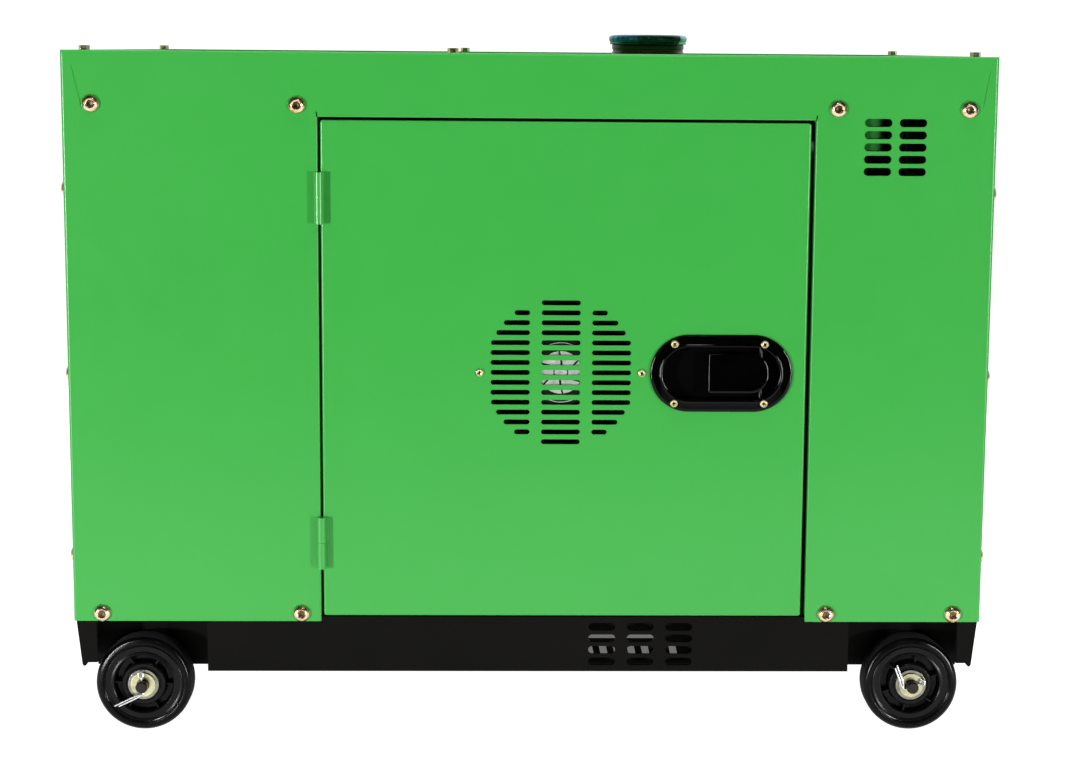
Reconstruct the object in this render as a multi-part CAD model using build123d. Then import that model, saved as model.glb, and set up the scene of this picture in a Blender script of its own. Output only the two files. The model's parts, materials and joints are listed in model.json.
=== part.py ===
"""Canopied generator set on four small wheels: sheet-metal canopy, service door, base and power unit.

X runs along the length, -Y is the front with the door, +Z is up. The origin is on the floor under the centre.
Millimetres throughout. Each node is written to parts/NODE.step.
"""
from build123d import *
import math
import os

# ---- driving dimensions ------------------------------------------------------------------------
LENGTH = 920.0            # canopy, end to end
DEPTH = 520.0             # canopy, front to back
CANOPY_LOW = 118.0        # lower edge of the canopy panels
CANOPY_HIGH = 689.4       # top of the canopy
SHEET = 1.5               # canopy sheet thickness
BEND = 3.0                # outside radius of a folded edge
FLANGE = 30.0             # folded edge of the front and rear panels
FOLD = 1.4                # outside radius of the fold round the door opening
DOOR_FOLD = 2.2           # outside radius of the door's folded edges
SEAM = 0.3                # gap between stacked sheets

WHEEL_R = 49.0
WHEEL_X = 393.0           # wheel centres either side of the middle
WHEEL_FACE = 250.0        # outer face of a wheel from the centre plane
WHEEL_WIDTH = 32.0
RIM_R = 39.5
RIM_OPENING_R = 30.0
HUB_R = 22.0
AXLE_R = 6.0
RUNNING = 0.05            # radial clearance of a turning fit
AXLE_END = 264.0
SPOKES = 6

SKIRT_LOW = 65.3          # lower edge of the middle skirt
SKIRT_HALF = 326.0        # half its length
ARCH_LOW = 59.0           # lower edge of the sheet behind each wheel
PLATE = 2.0               # base plate thickness
SILL_TOP = 140.0          # top of the strip that the panels are bolted to

DOOR = (-207.8, 276.0, 123.8, 623.2)        # left, right, low, high
OPENING = (-210.4, 280.5, 626.0)            # left, right, high
DOOR_FLANGE = 14.0
HINGE = (-209.0, -264.9)                    # x, y of the barrel axis
HINGE_R = 4.7
HINGE_PIN_R = 2.5
HINGE_LEVELS = ((521.3, 547.1, 572.3), (173.8, 200.6, 226.3))   # low, split, high

GRILLE = (30.3, 373.7)
GRILLE_PITCH = 10.03
GRILLE_ROWS = 15
FAN_SCREW_PITCH = 162.0
FAN_DEPTH = 51.0
FAN_BORE_R = 71.5

LATCH = (188.6, 373.8)
LATCH_SIZE = (138.3, 78.1)
LATCH_RECESS = (113.0, 50.0)
LATCH_SCREWS = (45.0, 29.9)                 # half spacings
PADDLE_PIVOT = (231.0, -255.0)
LATCH_PIN_HALF = 27.0

FRONT_BOLTS_X = (-431.0, -230.3, 302.0, 431.8)
BOLT_ROWS = (126.4, 637.7)
END_BOLTS_Z = (182.3, 368.3, 553.5)
END_BOLT_INSET = 20.5
SHANK_R = 4.0
SHANK_HOLE_R = 4.5
BOLT_HEAD_R = 8.9
BOLT_HEAD_HIGH = 5.5
BOLT_RIM_HIGH = 1.3        # height of the domed head at its rim
TOP_SCREWS = ((-439.7, -240.0), (-78.0, -240.0), (439.7, -240.0),
              (-439.7, 240.0), (-78.0, 240.0), (439.7, 240.0))
TOP_SHANK_R = 2.4
TOP_HOLE_R = 2.8

FILLER = (128.4, 0.0)
NECK_R = 39.35
NECK_BORE_R = 33.0
CAP_R = 43.0
CAP_LOW = 700.0
CAP_HIGH = 709.9

CRANK_Z = 290.0
CRANK_R = 15.0
STATOR_BORE_R = 62.0
ROTOR_R = 60.0

CONTROL = (-150.0, 150.0, 400.0, 630.0)     # window in the left end: y low, y high, z low, z high
CONTROL_DEEP = 26.0       # how far the control plate lies behind the left end's face
FRONT = -DEPTH / 2
END = LENGTH / 2
FLOOR_TOP = CANOPY_LOW + 3.0


# ---- small helpers -----------------------------------------------------------------------------
def span(x0, x1, y0, y1, z0, z1):
    """A block between two corners."""
    return Pos((x0 + x1) / 2, (y0 + y1) / 2, (z0 + z1) / 2) * Box(x1 - x0, y1 - y0, z1 - z0)


def prism_x(outline, x0, x1):
    """An outline drawn in Y and Z, from x0 to x1."""
    return extrude(Plane.YZ.offset(x0) * outline, amount=x1 - x0)


def prism_y(outline, y0, y1):
    """An outline drawn in X and Z, from y0 to y1."""
    return extrude(Plane.XZ.offset(-y1) * outline, amount=y1 - y0)


def prism_z(outline, z0, z1):
    """An outline drawn in X and Y, from z0 to z1."""
    return extrude(Plane.XY.offset(z0) * outline, amount=z1 - z0)


def rod_x(radius, y, z, x0, x1):
    return prism_x(Pos(y, z) * Circle(radius), x0, x1)


def rod_y(radius, x, z, y0, y1):
    return prism_y(Pos(x, z) * Circle(radius), y0, y1)


def rod_z(radius, x, y, z0, z1):
    return prism_z(Pos(x, y) * Circle(radius), z0, z1)


def polygon(*points):
    """A flat face through points in order, where they are."""
    return make_face(Polyline(*points, close=True))


def placed(shape, at, direction):
    """A shape made along +Z, moved to a point and turned along a direction."""
    return Plane(origin=at, z_dir=direction).location * shape


def front_and_back(shape):
    """A shape and its copy mirrored to the rear."""
    return [shape, mirror(shape, about=Plane.XZ)]


def all_corners(shape):
    """A shape and its copies in the other three corners."""
    pair = front_and_back(shape)
    return pair + [mirror(one, about=Plane.YZ) for one in pair]


# ---- fasteners ---------------------------------------------------------------------------------
def panel_bolt_places():
    """Every large bolt: a point on the panel's face, and the way its head points."""
    places = []
    for x in FRONT_BOLTS_X:
        for z in BOLT_ROWS:
            places.append(((x, FRONT, z), (0, -1, 0)))
            places.append(((x, -FRONT, z), (0, 1, 0)))
    for side in (-1, 1):
        for y in (FRONT + END_BOLT_INSET, -FRONT - END_BOLT_INSET):
            for z in END_BOLTS_Z:
                places.append(((side * END, y, z), (side, 0, 0)))
        for y in (-150.0, 150.0):
            places.append(((side * END, y, BOLT_ROWS[0]), (side, 0, 0)))
            places.append(((side * END, y, BOLT_ROWS[1] + 15), (side, 0, 0)))
    return places


def panel_bolt():
    """Domed head with a hexagon socket, and a short shank."""
    rise = BOLT_HEAD_HIGH - BOLT_RIM_HIGH
    ball_r = (BOLT_HEAD_R ** 2 + rise ** 2) / (2 * rise)
    head = Pos(0, 0, BOLT_HEAD_HIGH / 2) * Cylinder(BOLT_HEAD_R, BOLT_HEAD_HIGH)
    head = head & (Pos(0, 0, BOLT_HEAD_HIGH - ball_r) * Sphere(ball_r))
    socket = Pos(0, 0, BOLT_HEAD_HIGH - 3.2) * extrude(RegularPolygon(3.4, 6), amount=4.0)
    return head + Pos(0, 0, -4.5) * Cylinder(SHANK_R, 9.0) - socket


def top_screw():
    """Small hexagon head screw."""
    head = extrude(RegularPolygon(5.5, 6), amount=4.5)
    return head + Pos(0, 0, -3.5) * Cylinder(TOP_SHANK_R, 7.0)


def bolt_holes():
    """Cylinders to cut from every sheet that a large bolt passes through."""
    drill = Pos(0, 0, -5.0) * Cylinder(SHANK_HOLE_R, 12.0)
    return [placed(drill, at, way) for at, way in panel_bolt_places()]


def top_holes():
    return [rod_z(TOP_HOLE_R, x, y, CANOPY_HIGH - 12, CANOPY_HIGH + 2) for x, y in TOP_SCREWS]


def fasteners():
    bolts = [placed(panel_bolt(), at, way) for at, way in panel_bolt_places()]
    screws = [Pos(x, y, CANOPY_HIGH) * top_screw() for x, y in TOP_SCREWS]
    return {"panel_bolts": bolts, "top_screws": screws}


# ---- base --------------------------------------------------------------------------------------
def skirt_slots():
    """Twelve round-ended slots in the middle skirt."""
    slots = []
    for x in (74.0, 113.2, 152.4):
        for row in range(4):
            slot = Pos(x, 112.0 - 12.1 * row) * SlotOverall(27.4, 8.0)
            slots.append(prism_y(slot, FRONT - 5, FRONT + 10))
    return slots


def long_skirt(drills):
    """Front skirt: hangs below the panel between the wheels, its top strip carries the bolts."""
    outer = FRONT + SHEET + SEAM
    inner = outer + PLATE
    left, right, _ = OPENING
    skirt = span(-SKIRT_HALF, SKIRT_HALF, outer, inner, SKIRT_LOW, CANOPY_LOW)
    skirt += span(-455, 455, outer, inner, CANOPY_LOW, FLOOR_TOP + 1.5)
    skirt += span(-455, left - 3, outer, inner, CANOPY_LOW, SILL_TOP)
    skirt += span(right + 3, 455, outer, inner, CANOPY_LOW, SILL_TOP)
    skirt += span(-SKIRT_HALF, SKIRT_HALF, outer, outer + 14, SKIRT_LOW, SKIRT_LOW + PLATE)
    return skirt - skirt_slots() - drills


def end_skirt(drills):
    """Right end skirt: leans in towards its lower edge and turns the corner at front and rear."""
    top_x = 458.2
    low_x = 453.2
    low_z = 69.8
    lean = polygon((top_x, CANOPY_LOW), (low_x, low_z + 1.5), (low_x - PLATE, low_z + 1.5),
                   (top_x - PLATE, CANOPY_LOW))
    skirt = prism_y(lean, -254.5, 254.5)
    sill_x = END - SHEET - SEAM
    skirt += span(top_x - PLATE, sill_x, -226, 226, CANOPY_LOW, CANOPY_LOW + PLATE)
    skirt += span(sill_x - PLATE, sill_x, -226, 226, CANOPY_LOW, SILL_TOP)
    corner = polygon((top_x, CANOPY_LOW), (low_x, 72.0), (452.3, 70.1), (450.9, low_z), (449.5, 70.5),
                     (447.1, 73.5), (438.0, 73.5), (438.0, CANOPY_LOW))
    for face in (prism_y(corner, -256.0, -254.0), prism_y(corner, 254.0, 256.0)):
        skirt += face
    return skirt - drills


def wheel_bracket():
    """Sheet behind one wheel with a lug that holds the axle, and the plate that closes the wheel arch."""
    inner_face = WHEEL_FACE - WHEEL_WIDTH
    y0, y1 = -inner_face + 6.0, -inner_face + 9.0
    sheet = polygon((SKIRT_HALF, CANOPY_LOW), (446.0, CANOPY_LOW), (446.0, ARCH_LOW),
                    (WHEEL_X + 34, ARCH_LOW), (WHEEL_X + 15, WHEEL_R), (WHEEL_X - 15, WHEEL_R),
                    (WHEEL_X - 34, ARCH_LOW), (SKIRT_HALF, ARCH_LOW))
    web = prism_y(sheet, y0, y1) + rod_y(15.0, WHEEL_X, WHEEL_R, y0, y1)
    web -= rod_y(AXLE_R + 0.2, WHEEL_X, WHEEL_R, y0 - 1, y1 + 1)
    closer = span(SKIRT_HALF - PLATE, SKIRT_HALF, -256.0, y0, SKIRT_LOW + 4, CANOPY_LOW)
    return [web, closer]


def inner_grid():
    """Sheet that hangs from the base floor behind the skirt's slots, with slanted slots and one long opening."""
    y0, y1 = -236.0, -234.0
    grid = span(40, 180, y0, y1, SKIRT_LOW + 1, CANOPY_LOW + 1)
    grid -= span(57, 131, y0 - 1, y1 + 1, 93.5, 100.5)
    for index in range(7):
        x = 62.2 + 14.35 * index
        slot = polygon((x - 5.2, 88.5), (x + 2.1, 88.5), (x + 5.2, 74.5), (x - 2.1, 74.5))
        grid -= prism_y(slot, y0 - 1, y1 + 1)
    return grid


def base(drills):
    floor = span(-452, 452, -255.8, 255.8, CANOPY_LOW, FLOOR_TOP) + inner_grid()
    front = long_skirt(drills)
    right = end_skirt(drills)
    brackets = []
    for piece in wheel_bracket():
        brackets += all_corners(piece)
    rails = []
    for y in (-110.0, 110.0):
        rail = span(-290, 260, y - 15, y + 15, FLOOR_TOP, FLOOR_TOP + 30)
        rails.append(rail - span(-291, 261, y - 12, y + 12, FLOOR_TOP - 1, FLOOR_TOP + 27))
    return {
        "base_floor": floor,
        "front_skirt": front,
        "rear_skirt": mirror(front, about=Plane.XZ),
        "end_skirts": [right, mirror(right, about=Plane.YZ)],
        "wheel_brackets": brackets,
        "engine_rails": rails,
    }


# ---- wheels ------------------------------------------------------------------------------------
def wheel_tyre():
    """Solid tyre of the front right wheel, with a raised ring on each side wall."""
    half = WHEEL_WIDTH / 2
    wall = half - 1.6
    profile = Polyline((RIM_R, -wall), (40.3, -wall), (41.1, -half), (42.5, -half))
    shoulder = ThreePointArc((42.5, -half), (47.3, -half + 4.6), (WHEEL_R, -half + 10.5))
    tread = Line((WHEEL_R, -half + 10.5), (WHEEL_R, half - 10.5))
    shoulder_2 = ThreePointArc((WHEEL_R, half - 10.5), (47.3, half - 4.6), (42.5, half))
    profile_2 = Polyline((42.5, half), (41.1, half), (40.3, wall), (RIM_R, wall), (RIM_R, -wall))
    face = make_face(Curve() + [profile, shoulder, tread, shoulder_2, profile_2])
    return revolve(Plane.XY * face, Axis.Y)


def wheel_rim(first_spoke):
    """Moulded rim: outer ring, thin web, hub and six ribs."""
    half = WHEEL_WIDTH / 2
    ring = Cylinder(RIM_R, 2 * (half - 1.6)) - Cylinder(RIM_OPENING_R, 2 * half)
    hub = Cylinder(HUB_R, 2 * (half - 1.0)) - Cylinder(AXLE_R + RUNNING, 2 * half)
    web = Cylinder(RIM_OPENING_R + 1, 4.0) - Cylinder(HUB_R - 1, 5.0)
    rim = Rot(90, 0, 0) * (ring + hub + web)
    reach = RIM_OPENING_R - HUB_R + 2
    rib = Pos(HUB_R - 1 + reach / 2, 0, 0) * Box(reach, 2 * half - 10, 2.4)
    for index in range(SPOKES):
        rim += Rot(0, -first_spoke - 360.0 / SPOKES * index, 0) * rib
    return rim


def wheels():
    centre_y = WHEEL_FACE - WHEEL_WIDTH / 2
    nodes = {}
    for end, side_x, spoke in (("left", -1, 58.0), ("right", 1, 18.0)):
        for side, side_y in (("front", -1), ("rear", 1)):
            place = Pos(side_x * WHEEL_X, side_y * centre_y, WHEEL_R)
            nodes[f"{side}_{end}_tyre"] = place * wheel_tyre()
            nodes[f"{side}_{end}_rim"] = place * wheel_rim(spoke)
    return nodes


def axle():
    """Fixed axle with a collar inside each wheel and a cross hole outside it."""
    collar = WHEEL_FACE - WHEEL_WIDTH + 1.0 - 0.3
    bracket = WHEEL_FACE - WHEEL_WIDTH - 6.0
    rod = chamfer(rod_y(AXLE_R, 0, WHEEL_R, -AXLE_END, AXLE_END).edges().filter_by(GeomType.CIRCLE), 1.0)
    for side in (-1, 1):
        rod += rod_y(9.0, 0, WHEEL_R, min(side * collar, side * bracket), max(side * collar, side * bracket))
    return rod


def cotter_pin(way, leg):
    """Split pin drawn round the axle's centre: an eye, a shank through the axle and two bent legs.

    way is the shank's direction from the eye in degrees, and leg is the point where the legs end.
    """
    start = Vector(math.cos(math.radians(way)), 0, math.sin(math.radians(way)))
    eye = start * -11.5
    knee = start * 8.5
    end = Vector(leg[0], 0, leg[1])
    shank = placed(Pos(0, 0, 9.0) * Cylinder(1.5, 18.0), start * -9.5, start)
    ring = Pos(eye) * Rot(90, 0, 0) * Torus(2.6, 1.1)
    run = (end - knee).normalized()
    length = (end - knee).length
    legs = []
    for offset, share in ((-0.85, 1.0), (0.85, 0.9)):
        stick = placed(Pos(0, 0, length * share / 2) * Cylinder(0.85, length * share), knee, run)
        legs.append(Pos(0, offset, 0) * stick)
    pin = shank + ring + Pos(knee) * Sphere(1.7)
    return pin + legs


def axle_parts():
    axles = [Pos(x, 0, 0) * axle() for x in (-WHEEL_X, WHEEL_X)]
    pin_y = WHEEL_FACE + 6.4
    hub_face = WHEEL_FACE - 1.0
    washers = []
    retainers = []
    pins = []
    for side_x, way, leg in ((-1, -83.0, (-28.0, -22.0)), (1, 199.0, (-17.0, 22.0))):
        cut = rod_z(1.7, 0, -pin_y, -20, 20)
        turn = Rot(0, 90 - way, 0)
        hole = turn * Pos(0, pin_y, 0) * cut
        for side_y in (-1, 1):
            x = side_x * WHEEL_X
            centre = Pos(x, side_y * pin_y, WHEEL_R)
            pins.append(centre * cotter_pin(way, leg))
            index = 0 if side_x < 0 else 1
            axles[index] = axles[index] - centre * hole
            for radius, near, far, bag in ((15.6, 0.3, 2.2, washers), (12.4, 2.4, 4.4, retainers)):
                low, high = sorted((side_y * (hub_face + near), side_y * (hub_face + far)))
                disc = rod_y(radius, x, WHEEL_R, low, high)
                bag.append(disc - rod_y(AXLE_R + 0.3, x, WHEEL_R, low - 1, high + 1))
    return {"wheel_axles": axles, "hub_washers": washers, "retaining_washers": retainers, "cotter_pins": pins}


# ---- canopy ------------------------------------------------------------------------------------
def folded_panel():
    """Front sheet with its sides and top folded back."""
    back = FRONT + FLANGE
    outer = span(-END, END, FRONT, back, CANOPY_LOW, CANOPY_HIGH)
    corners = outer.edges().filter_by(Axis.Z).group_by(Axis.Y)[0]
    brow = outer.edges().filter_by(Axis.X).group_by(Axis.Y)[0].sort_by(Axis.Z)[-1]
    outer = fillet([*corners, brow], BEND)
    inner = span(-END + SHEET, END - SHEET, FRONT + SHEET, back + 1, CANOPY_LOW - 1, CANOPY_HIGH - SHEET)
    corners = inner.edges().filter_by(Axis.Z).group_by(Axis.Y)[0]
    brow = inner.edges().filter_by(Axis.X).group_by(Axis.Y)[0].sort_by(Axis.Z)[-1]
    return outer - fillet([*corners, brow], BEND - SHEET)


def vent_slots(y0, y1):
    slots = []
    for x in (342.1, 376.6):
        for row in range(5):
            slot = Pos(x, 624.2 - 12.05 * row) * SlotOverall(27.3, 8.0)
            slots.append(prism_y(slot, y0, y1))
    return slots


def front_panel(drills):
    left, right, high = OPENING
    deep = FRONT + DOOR_FLANGE
    panel = folded_panel()
    hole = prism_y(polygon((left, CANOPY_LOW - 1), (left, high), (right, high), (right, CANOPY_LOW - 1)),
                   FRONT - 1, FRONT + SHEET + 1)
    panel -= hole
    foot = FLOOR_TOP + 3
    panel += span(left - SHEET, left, FRONT, deep, foot, high)
    panel += span(right, right + SHEET, FRONT, deep, foot, high)
    panel += span(left - SHEET, right + SHEET, FRONT, deep, high, high + SHEET)
    face_edges = panel.edges().filter_by(lambda e: abs(e.center().Y - FRONT) < 0.01)
    round_door = face_edges.filter_by(
        lambda e: left - 0.1 < e.center().X < right + 0.1 and CANOPY_LOW + 1 < e.center().Z < high + 0.1)
    panel = fillet(round_door, FOLD)
    # relief slits where the folds of the opening meet
    for x, lean in ((left, 1.0), (right, -1.0)):
        slit = polygon((x - 0.7, high - 1.0), (x + 0.7, high - 1.0), (x + 0.6 - lean, high + 5.0),
                       (x - 0.6 - lean, high + 5.0))
        panel -= prism_y(slit, FRONT - 1, FRONT + SHEET + 1)
    # shallow crease that runs from each upper corner down to the corner bolt
    for top, foot in (((-449.0, 674.5), (-440.0, 636.0)), ((451.2, 675.5), (445.2, 640.0))):
        crease = polygon((top[0] - 0.5, top[1]), (top[0] + 0.5, top[1]), (foot[0] + 0.5, foot[1]),
                         (foot[0] - 0.5, foot[1]))
        panel -= prism_y(crease, FRONT - 0.1, FRONT + 0.4)
    panel -= vent_slots(FRONT - 1, FRONT + SHEET + 1)
    return panel - drills - top_holes()


def rear_panel(drills):
    panel = mirror(folded_panel(), about=Plane.XZ)
    face0, face1 = -FRONT - SHEET - 1, -FRONT + 1
    for column in range(4):
        for row in range(12):
            slot = Pos(40.0 + 66.0 * column, 240.0 + 18.0 * row) * SlotOverall(52.0, 8.0)
            panel -= prism_y(slot, face0, face1)
    panel -= rod_y(30.0, -300.0, 560.0, face0, face1)
    return panel - drills - top_holes()


def end_panel(drills):
    """Right end sheet, with a folded top edge."""
    y = -FRONT - FLANGE - 1.5
    panel = span(END - SHEET, END, -y, y, CANOPY_LOW, CANOPY_HIGH)
    panel = panel + span(END - FLANGE, END, -y, y, CANOPY_HIGH - SHEET, CANOPY_HIGH)
    brow = panel.edges().filter_by(Axis.Y).filter_by(lambda e: e.center().X > END - 0.1).sort_by(Axis.Z)[-1]
    return fillet(brow, 1.2) - drills


def vent_baffle(high):
    """Bent sheet just behind the upper vents, which shades the engine bay from rain."""
    profile = polygon((322, -252), (336, -252), (341, -250), (345, -245), (347, -235), (347.5, -215),
                      (346, -215), (345.5, -235), (343.6, -244.3), (340.2, -248.8), (335.6, -250.5), (322, -250.5))
    return prism_z(profile, 594.5, high)


def canopy(drills):
    right = end_panel(drills)
    left = mirror(end_panel(drills), about=Plane.YZ)
    y0, y1, z0, z1 = CONTROL
    window = fillet(span(-END - 1, -END + CONTROL_DEEP + 1, y0, y1, z0, z1).edges().filter_by(Axis.X), 12)
    rim = span(-END, -END + CONTROL_DEEP - 0.1, y0 - SHEET, y1 + SHEET, z0 - SHEET, z1 + SHEET)
    left = left + fillet(rim.edges().filter_by(Axis.X), 12 + SHEET) - window
    for row in range(14):
        for y in (-110.0, 0.0, 110.0):
            slot = Pos(y, 230.0 + 16.0 * row) * SlotOverall(84.0, 7.0)
            right -= prism_x(slot, END - SHEET - 1, END + 1)
    cover_low = CANOPY_HIGH - 2 * SHEET - 0.2
    cover = span(-457, 457, -257, 257, cover_low, cover_low + SHEET)
    cover = cover - rod_z(NECK_R + 1.5, *FILLER, cover_low - 1, CANOPY_HIGH) - top_holes()
    leg = polygon((456, -256), (424, -256), (424, -254), (454, -254), (454, -224), (456, -224))
    posts = all_corners(prism_z(leg, FLOOR_TOP + 1.8, cover_low - 0.2))
    return {
        "front_panel": front_panel(drills),
        "rear_panel": rear_panel(drills),
        "left_end_panel": left,
        "right_end_panel": right,
        "top_cover": cover,
        "corner_posts": [post - drills for post in [*posts, vent_baffle(cover_low - 0.2)]],
    }


# ---- door --------------------------------------------------------------------------------------
def grille_slots():
    """Round field of slots: one narrow column in the middle and a wide one each side."""
    slots = []
    cx, cz = GRILLE
    for row in range(GRILLE_ROWS):
        dz = GRILLE_PITCH * (row - GRILLE_ROWS // 2)
        slots.append(Pos(cx, cz + dz) * SlotOverall(38.9, 5.0))
        reach = min(70.2, math.sqrt(76.0 ** 2 - dz ** 2))
        if reach > 37.0:
            for side in (-1, 1):
                middle = cx + side * (31.0 + reach) / 2
                slots.append(Pos(middle, cz + dz) * SlotOverall(reach - 31.0, 5.0))
    return [prism_y(slot, FRONT - 1, FRONT + SHEET + 1) for slot in slots]


def door_panel():
    left, right, low, high = DOOR
    outer = span(left, right, FRONT, FRONT + DOOR_FLANGE, low, high)
    outer = fillet(outer.edges().filter_by(Axis.Y), DOOR_FOLD + 0.4)
    outer = fillet(outer.faces().sort_by(Axis.Y)[0].edges(), DOOR_FOLD)
    door = outer - span(left + SHEET, right - SHEET, FRONT + SHEET, 0, low + SHEET, high - SHEET)
    door -= grille_slots()
    door -= prism_y(Pos(*LATCH) * SlotOverall(121.0, 61.0), FRONT - 1, FRONT + SHEET + 1)
    for dx in (-1, 1):
        door -= rod_y(2.3, GRILLE[0] + dx * FAN_SCREW_PITCH / 2, GRILLE[1], FRONT - 1, FRONT + SHEET + 1)
        for dz in (-1, 1):
            door -= rod_y(2.3, LATCH[0] + dx * LATCH_SCREWS[0], LATCH[1] + dz * LATCH_SCREWS[1],
                          FRONT - 1, FRONT + SHEET + 1)
    return door


def knuckles(fixed):
    """Half of each hinge barrel with the tab that joins it to the front panel or to the door."""
    x, y = HINGE
    bore = HINGE_PIN_R + (0.0 if fixed else RUNNING)
    tab = (x - 5.0, x) if fixed else (x, x + 7.5)
    halves = []
    for low, split, high in HINGE_LEVELS:
        z0, z1 = (low, split - 0.15) if fixed else (split + 0.15, high)
        half = rod_z(HINGE_R, x, y, z0, z1) + span(*tab, FRONT - 2.0, FRONT, z0 + 1, z1 - 1)
        halves.append(half - rod_z(bore, x, y, z0 - 1, z1 + 1))
    return halves


def hinge_pins():
    return [rod_z(HINGE_PIN_R, *HINGE, low + 0.5, high - 0.5) for low, _, high in HINGE_LEVELS]


def latch_housing():
    """Oval flush-handle housing with a finger well, and the guide for the tongue on its back."""
    x, z = LATCH
    face = FRONT - 4.0
    flange = prism_y(Pos(x, z) * SlotOverall(*LATCH_SIZE), face, FRONT)
    flange = fillet(flange.faces().sort_by(Axis.Y)[0].edges(), 1.5)
    tub = prism_y(Pos(x, z) * SlotOverall(120.0, 60.0), FRONT, FRONT + 17.0)
    well = prism_y(Pos(x, z) * SlotOverall(*LATCH_RECESS), face - 1, FRONT + 14.0)
    guide = span(224, 262, FRONT + 17, FRONT + 28.5, z - 14, z + 14)
    channel = span(220, 270, FRONT + 17.2, FRONT + 25.8, z - 10.2, z + 10.2)
    housing = flange + tub + guide - well - channel
    for dx in (-1, 1):
        for dz in (-1, 1):
            housing -= rod_y(2.3, x + dx * LATCH_SCREWS[0], z + dz * LATCH_SCREWS[1], face - 1, FRONT + 1)
    return housing


def latch_paddle():
    """Handle plate with a hidden knuckle at its right end."""
    x0, x1 = 178.0, 238.0
    z = LATCH[1]
    px, py = PADDLE_PIVOT
    outline = Pos((x0 + x1) / 2, z) * Rectangle(x1 - x0, 40.0)
    outline = fillet(outline.vertices().group_by(Axis.X)[-1], 18.0)
    outline = fillet(outline.vertices().group_by(Axis.X)[0], 2.0)
    plate = prism_y(outline, FRONT - 3.6, FRONT - 0.6)
    plate = fillet(plate.faces().sort_by(Axis.Y)[0].edges(), 1.0)
    half = 15.5
    knuckle = rod_z(4.2, px, py, z - half, z + half)
    knuckle += span(px - 4.2, px + 4.2, FRONT - 1.0, py, z - half, z + half)
    return plate + knuckle - rod_z(2.0 + RUNNING, px, py, z - 30, z + 30)


def latch_tongue():
    z = LATCH[1]
    tongue = span(236, 279, FRONT + 17.5, FRONT + 25.5, z - 10, z + 10)
    return chamfer(tongue.edges().filter_by(Axis.Z).group_by(Axis.X)[-1].sort_by(Axis.Y)[0], 5.0)


def door_screws():
    """Small pan heads that hold the fan and the latch."""
    screws = []
    pan = fillet((Pos(0, 0, 1.1) * Cylinder(3.9, 2.2)).edges().sort_by(Axis.Z)[-1], 1.0)
    pan = pan - Pos(0, 0, 2.0) * (Box(4.4, 0.9, 1.4) + Box(0.9, 4.4, 1.4))
    for dx in (-1, 1):
        fan = (GRILLE[0] + dx * FAN_SCREW_PITCH / 2, FRONT, GRILLE[1])
        screws.append(placed(pan + Pos(0, 0, -3) * Cylinder(2.0, 6.0), fan, (0, -1, 0)))
        for dz in (-1, 1):
            at = (LATCH[0] + dx * LATCH_SCREWS[0], FRONT - 4.0, LATCH[1] + dz * LATCH_SCREWS[1])
            screws.append(placed(pan + Pos(0, 0, -3.5) * Cylinder(2.0, 7.0), at, (0, -1, 0)))
    return screws


def fan_frame():
    """Die-cast frame of a flat-sided axial fan, with four struts that hold the motor."""
    x, z = GRILLE
    y0 = FRONT + SHEET
    outline = (Pos(x, z) * Circle(88.0)) & (Pos(x, z) * Rectangle(172.0, 150.0))
    frame = prism_y(outline, y0, y0 + FAN_DEPTH)
    waist = (Pos(x, z) * Circle(90.0)) - (Pos(x, z) * Circle(74.5))
    frame -= prism_y(waist, y0 + 5, y0 + FAN_DEPTH - 5)
    frame -= rod_y(FAN_BORE_R, x, z, y0 - 1, y0 + FAN_DEPTH + 1)
    for turn in (1, -1):
        frame += span(*sorted((x + turn * 34.0, x + turn * 37.5)), y0, y0 + 6, *sorted((z - turn * 12, z + turn * 64.5)))
        frame += span(*sorted((x - turn * 64.5, x + turn * 12)), y0, y0 + 6, *sorted((z + turn * 34.0, z + turn * 37.5)))
    for dx in (-1, 1):
        frame -= rod_y(2.2, x + dx * FAN_SCREW_PITCH / 2, z, y0 - 1, y0 + 8)
    return frame


def fan_motor():
    """Fixed motor of the fan between the struts, with the shaft that the blades turn on."""
    x, z = GRILLE
    y0 = FRONT + SHEET
    motor = rod_y(30.9, x, z, y0 + 0.6, y0 + 14) + rod_y(33.9, x, z, y0 + 2.5, y0 + 6)
    motor = fillet(motor.edges().group_by(Axis.Y)[0], 1.5)
    return motor + rod_y(4.0, x, z, y0 + 14, y0 + 46)


def fan_impeller():
    """Rotor with seven pitched blades."""
    x, z = GRILLE
    y0 = FRONT + SHEET
    rotor = rod_y(38.0, x, z, y0 + 15, y0 + 44)
    blade = Pos(52.5, 0, 0) * Rot(-38, 0, 0) * Box(36.0, 2.2, 34.0)
    for index in range(7):
        turned = Rot(0, 360.0 / 7 * index, 0) * blade
        rotor += Pos(x, y0 + 29.5, z) * turned
    limit = rod_y(FAN_BORE_R - 1.5, x, z, y0 + 9, y0 + 48)
    return (rotor & limit) - rod_y(4.0 + RUNNING, x, z, y0, y0 + 60)


def door():
    pin = rod_z(2.0, *PADDLE_PIVOT, LATCH[1] - LATCH_PIN_HALF, LATCH[1] + LATCH_PIN_HALF)
    return {
        "door_panel": door_panel(),
        "door_knuckles": knuckles(fixed=False),
        "hinge_knuckles": knuckles(fixed=True),
        "hinge_pins": hinge_pins(),
        "latch_housing": latch_housing() - pin,
        "latch_pin": pin,
        "latch_paddle": latch_paddle(),
        "latch_tongue": latch_tongue(),
        "door_screws": door_screws(),
        "fan_frame": fan_frame(),
        "fan_motor": fan_motor(),
        "fan_impeller": fan_impeller(),
    }


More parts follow.
